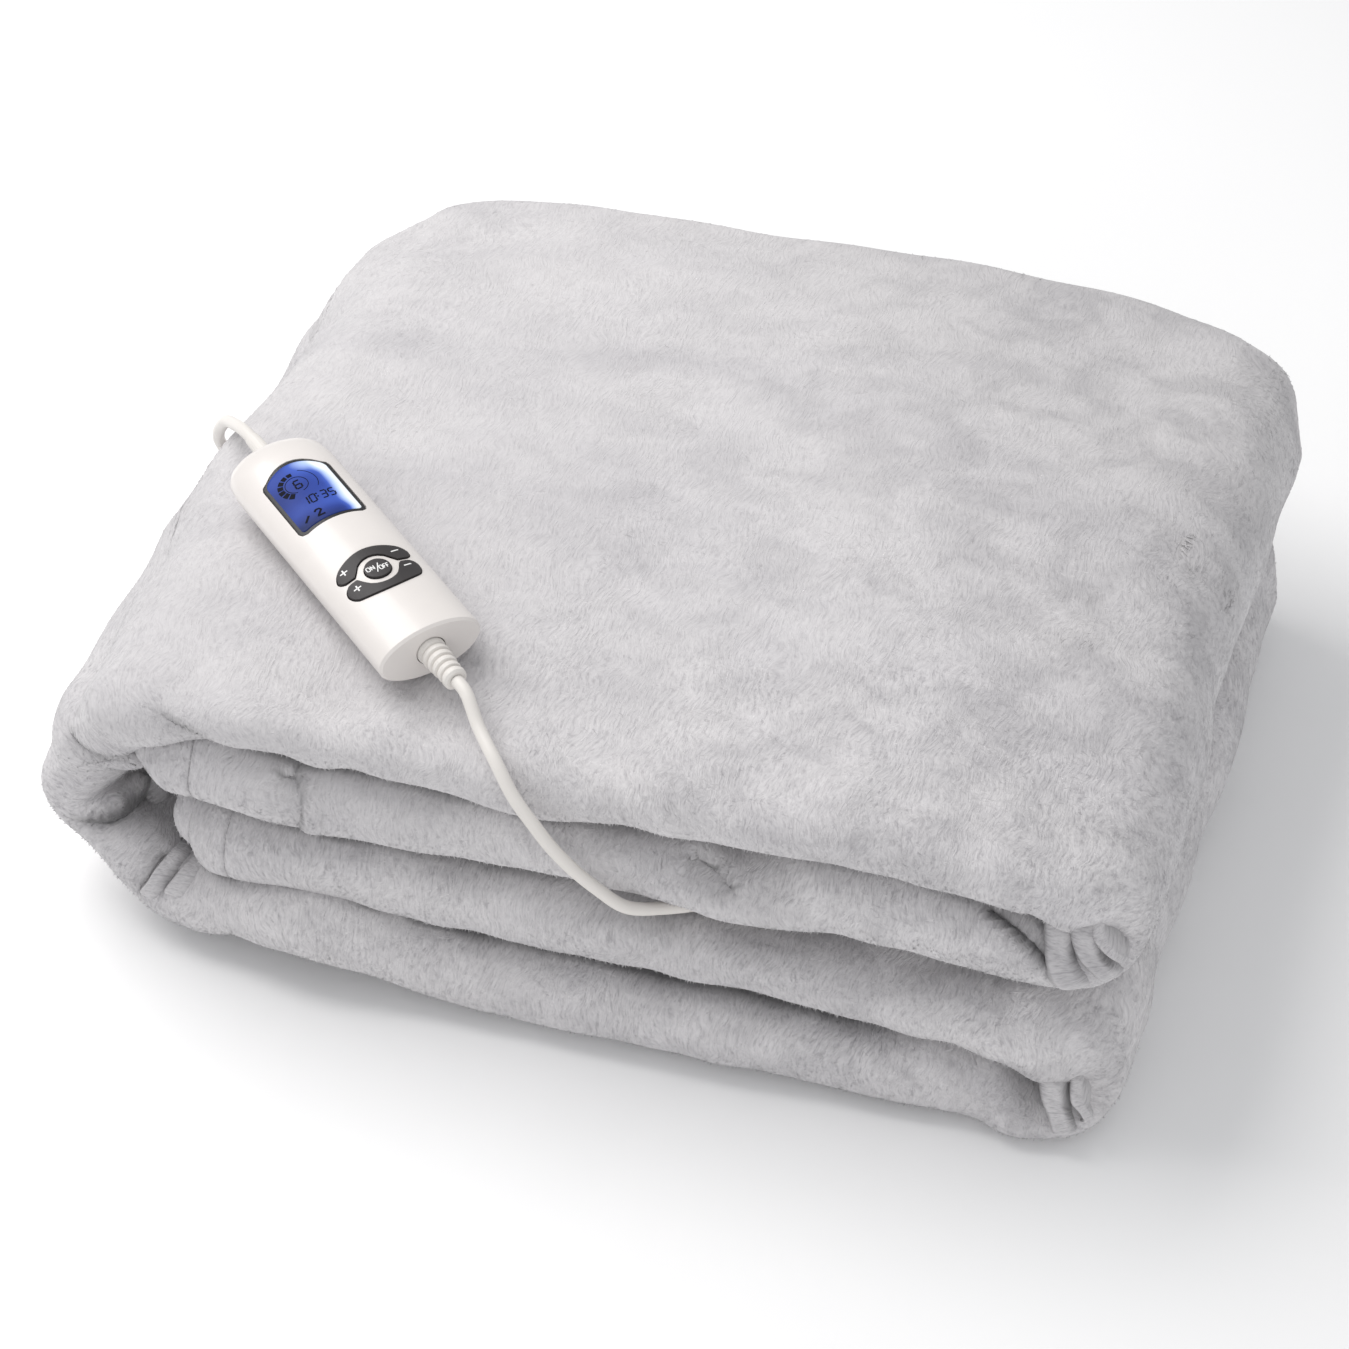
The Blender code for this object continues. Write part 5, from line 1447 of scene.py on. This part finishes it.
def one_housing():
    """The two halves as one smooth shell: no parting line shows."""
    b = bmesh.new()
    for node in ("controller_upper", "controller_lower"):
        v, f = in_its_frame(node)
        ids = [b.verts.new(q) for q in v]
        for q in f:
            b.faces.new([ids[i] for i in q])
    bmesh.ops.remove_doubles(b, verts=b.verts, dist=2e-6)
    bmesh.ops.delete(b, geom=[q for q in b.faces if all(abs(w.co.z) < 0.0003 for w in q.verts)], context="FACES")
    rim = [w for w in b.verts if abs(w.co.z) < 0.0003]
    for w in rim:
        w.co.z = 0
    bmesh.ops.remove_doubles(b, verts=rim, dist=0.00006)
    loose = sum(1 for e in b.edges if len(e.link_faces) != 2)
    bmesh.ops.recalc_face_normals(b, faces=b.faces)
    me = bpy.data.meshes.new("housing")
    b.to_mesh(me)
    b.free()
    me.transform(CTL)
    me.shade_smooth()
    me.set_sharp_from_angle(angle=math.radians(38))
    me.materials.append(HOUSING)
    print("housing: open edges", loose)
    return me, loose


me, loose = one_housing()
if loose == 0:
    housing = link(bpy.data.objects.new("housing", me))
    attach(housing, "base")
    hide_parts("controller_upper", "controller_lower")

# the lit panel of the display, inside the window's dark rim
WIN = dict(far=-0.0377, near=-0.0058, half=0.0127, far_bow=0.0047, near_bow=0.0010)
RIM = 0.00125


def panel():
    height = face_of("display_window")
    half, r = WIN["half"] - RIM, 0.0016
    ny, nx = 45, 41
    top, glow_and_highlight = [], []
    for y in np.sin(np.linspace(-math.pi / 2, math.pi / 2, ny)) * half:
        s = y / half
        far = WIN["far"] + RIM - WIN["far_bow"] * (1 - s * s)
        near = WIN["near"] - RIM - WIN["near_bow"] * (1 - s * s)
        e = max(0.0, abs(y) - (half - r))
        cut = r - math.sqrt(max(0.0, r * r - e * e))
        far, near = far + cut, near - cut
        for x in np.linspace(far, near, nx):
            top.append((x, y, (height(x, y) or 0.0095) + 0.00008))
            # painted highlight: side, corner and low whiten the panel along its +y side and at both its +y corners, a
            # painted reflection; the rest is the panel's own glow
            side = float(smoothstep(0.0050, 0.0112, y))
            corner = float(smoothstep(-0.031, -0.041, x) * smoothstep(-0.006, 0.009, y))
            low = float(smoothstep(-0.010, -0.005, x) * smoothstep(-0.002, 0.009, y))
            glow_and_highlight.append(min(1.0, 0.30 + 0.06 * math.sin(x * 300) + 0.10 * s + 0.60 * side + 0.50 * corner + 0.20 * low
                            - 0.20 * float(smoothstep(-0.016, -0.008, x)) * (1 - side)))
    n = len(top)
    verts = top + [(x, y, z - 0.00035) for x, y, z in top]
    faces = []
    for j in range(ny - 1):
        for i in range(nx - 1):
            a, b_, c, d = j * nx + i, j * nx + i + 1, (j + 1) * nx + i + 1, (j + 1) * nx + i
            faces += [(a, b_, c, d), (n + d, n + c, n + b_, n + a)]
    ring = ([i for i in range(nx)] + [j * nx + nx - 1 for j in range(1, ny)] + [(ny - 1) * nx + i for i in range(nx - 2, -1, -1)]
            + [j * nx for j in range(ny - 2, 0, -1)])
    faces += [(a, n + a, n + b_, b_) for a, b_ in zip(ring, ring[1:] + ring[:1])]
    ob = mesh_piece("display_panel", verts, faces, None, matrix=CTL)
    give(ob, "glow_and_highlight", glow_and_highlight + glow_and_highlight)
    return ob


def screen_material():
    n = Nodes("screen")
    # the panel's own glow, whitened by the painted highlight (painted reflection) along its +y side; the colour and the
    # emission both carry it
    g = n.add("ShaderNodeAttribute", attribute_type="GEOMETRY", attribute_name="glow_and_highlight").outputs["Fac"]
    g = n.math("ADD", g, n.math("MULTIPLY", n.math("SUBTRACT", n.noise(n.coords(), 160.0, 2.0), 0.5), 0.10))
    col = n.ramp(g, [(0.0, (0.008, 0.018, 0.095)), (0.24, (0.020, 0.044, 0.24)), (0.48, (0.048, 0.100, 0.44)),
                     (0.74, (0.40, 0.52, 0.82)), (0.95, (0.74, 0.80, 0.86))])
    return n.surface(**{"Base Color": col, "Roughness": n.math("ADD", n.math("MULTIPLY", n.noise(n.coords(), 900.0, 2.0), 0.05), 0.42),
                        "Coat Weight": 0.05, "Coat Roughness": 0.3, "Specular IOR Level": 0.12,
                        "Emission Color": col, "Emission Strength": 0.16})


SCREEN = screen_material()
INK = plastic_material("ink", (0.003, 0.004, 0.012), 0.6, vary=0.2, spec=0.1)
RIM_BLACK = plastic_material("window_rim", (0.012, 0.012, 0.014), 0.34, vary=0.2, coat=0.15, spec=0.3)
screen_piece = panel()
screen_piece.data.materials.append(SCREEN)
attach(screen_piece, "base")


def ribbon(path, width, height, lift, thick):
    """A thin closed strip on a face, along points (x, y) in the controller's frame."""
    p = np.array(path, float)
    d = np.linalg.norm(np.diff(p, axis=0), axis=1)
    s = np.concatenate([[0], np.cumsum(d)])
    marks = set(s.tolist())
    for k in range(len(s) - 1):
        marks |= set(np.linspace(s[k], s[k + 1], max(2, int(d[k] / 0.0004) + 1)).tolist())
    t = np.array(sorted(marks))
    q = np.stack([np.interp(t, s, p[:, 0]), np.interp(t, s, p[:, 1])], -1)
    w = np.gradient(q, axis=0)
    w /= np.linalg.norm(w, axis=1)[:, None]
    side = np.stack([-w[:, 1], w[:, 0]], -1) * width / 2
    verts, faces = [], []
    for k in range(len(q)):
        for x, y in (q[k] + side[k], q[k] - side[k]):
            z = height(x, y)
            z = 0.009 if z is None else z
            verts += [(x, y, z + lift), (x, y, z + lift - thick)]
    for k in range(len(q) - 1):
        a, b_ = 4 * k, 4 * (k + 1)
        faces += [(a, b_, b_ + 2, a + 2), (a + 1, a + 3, b_ + 3, b_ + 1), (a, a + 1, b_ + 1, b_), (a + 2, b_ + 2, b_ + 3, a + 3)]
    e = 4 * (len(q) - 1)
    faces += [(0, 2, 3, 1), (e, e + 1, e + 3, e + 2)]
    return verts, faces


def strip_piece(name, paths, height, lift, thick, mat, body):
    verts, faces = [], []
    for path, width in paths:
        v, f = ribbon(path, width, height, lift, thick)
        faces += [tuple(i + len(verts) for i in q) for q in f]
        verts += v
    ob = mesh_piece(name, verts, faces, mat, smooth=False, matrix=CTL)
    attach(ob, body)
    return ob


SEGMENTS = {"a": ((0, 1), (1, 1)), "b": ((1, 1), (1, .5)), "c": ((1, .5), (1, 0)), "d": ((0, 0), (1, 0)), "e": ((0, .5), (0, 0)),
            "f": ((0, 1), (0, .5)), "g": ((0, .5), (1, .5))}
DIGITS = {"0": "abcdef", "1": "bc", "2": "abged", "3": "abgcd", "5": "afgcd", "6": "afgecd"}


def digit(which, x, y, w, h, slant=0.0, gap=0.07):
    """Bars of a digit whose lower left corner is at (x, y); it reads along +y, up towards -x."""
    out = []
    for name in DIGITS[which]:
        (u0, v0), (u1, v1) = SEGMENTS[name]
        du, dv = (u1 - u0) * gap, (v1 - v0) * gap
        ends = [(u0 + du, v0 + dv), (u1 - du, v1 - dv)]
        out.append([(x - v * h, y + u * w + v * h * slant) for u, v in ends])
    return out


def arc(x, y, r, a0, a1, n=14):
    """Points on a ring round (x, y); 0 degrees is along +y, 90 towards -x."""
    return [(x - r * math.sin(math.radians(a)), y + r * math.cos(math.radians(a))) for a in np.linspace(a0, a1, n)]


on_panel = face_of("display_window")
ink = []
ink += [(bar, 0.00062) for bar in digit("6", -0.0274, -0.0035, 0.0023, 0.0042, 0.08)]
y = -0.0043
for c in "10:35":
    if c == ":":
        ink += [([(-0.0186 - v, y + 0.0001), (-0.0186 - v - 0.0006, y + 0.0001)], 0.0006) for v in (0.0008, 0.0025)]
        y += 0.0012
    else:
        ink += [(bar, 0.00054) for bar in digit(c, -0.0178, y, 0.0020 if c != "1" else 0.0010, 0.0040, 0.10)]
        y += 0.0030 if c != "1" else 0.0020
ink += [([(-0.0104, -0.0087), (-0.0128, -0.0064)], 0.00085)]
ink += [([(-0.0130, -0.0040), (-0.0138, -0.0032), (-0.0137, -0.0020), (-0.0129, -0.0015), (-0.0104, -0.0038), (-0.0104, -0.0011)], 0.00075)]
for k in range(7):
    a0 = 238 - k * 23
    ink.append((arc(-0.0296, -0.0026, 0.0058, a0, a0 - 18, 6), 0.0024 - 0.00012 * k))
ink.append((arc(-0.0296, -0.0026, 0.0041, 250, -80, 40), 0.00026))
ink.append((arc(-0.0296, -0.0026, 0.0076, 62, -35, 20), 0.00022))
strip_piece("display_marks", ink, on_panel, 0.00015, 0.00016, INK, "base")


def letter(which, x, y, w, h):
    shapes = {"O": [[(0.25, 0), (0, .2), (0, .8), (.25, 1), (.75, 1), (1, .8), (1, .2), (.75, 0), (.25, 0)]],
              "N": [[(0, 0), (0, 1), (1, 0), (1, 1)]], "F": [[(1, 1), (0, 1), (0, 0)], [(0, .52), (.8, .52)]],
              "/": [[(0, -.45), (1, 1.45)]]}
    return [[(x - v * h, y + u * w) for u, v in line_] for line_ in shapes[which]]


on_round = face_of("power_button")
word = []
for c, at_x, at_y, wide in (("O", 0.0267, -0.0038, 0.0012), ("N", 0.0267, -0.0021, 0.0011), ("O", 0.0280, 0.0005, 0.0011),
                            ("F", 0.0280, 0.0020, 0.0008), ("F", 0.0280, 0.0031, 0.0008)):
    word += [(q, 0.00036) for q in letter(c, at_x, at_y, wide, 0.0020)]
word.append(([(0.0285, -0.0009), (0.0243, 0.0010)], 0.00036))
strip_piece("power_mark", word, on_round, 0.00008, 0.00016, MARK, "power_key")
for name, node, body, plus, minus in (("upper_key_marks", "rocker_upper", "upper_key", (0.0206, -0.0101), (0.0207, 0.0093)),
                                      ("lower_key_marks", "rocker_lower", "lower_key", (0.0303, -0.0098), (0.0294, 0.0097))):
    m = 0.0014
    (cx, cy), (dx, dy) = plus, minus
    strip_piece(name, [([(cx - m, cy), (cx + m, cy)], 0.00050), ([(cx, cy - m), (cx, cy + m)], 0.00050),
                       ([(dx + 0.0002, dy - m), (dx - 0.0002, dy + m)], 0.00050)], face_of(node), 0.00008, 0.00016, MARK, body)

for node, mat in (("controller_upper", HOUSING), ("controller_lower", HOUSING), ("display_window", RIM_BLACK),
                  ("power_button", KEY), ("rocker_upper", KEY), ("rocker_lower", KEY), ("relief_near", LEAD),
                  ("relief_far", LEAD), ("plug_body", LEAD), ("plug_pin_1", METAL), ("plug_pin_2", METAL)):
    ob = NODES[node]
    ob.data.materials.clear()
    ob.data.materials.append(mat)
    for q in ob.data.polygons:
        q.material_index = 0
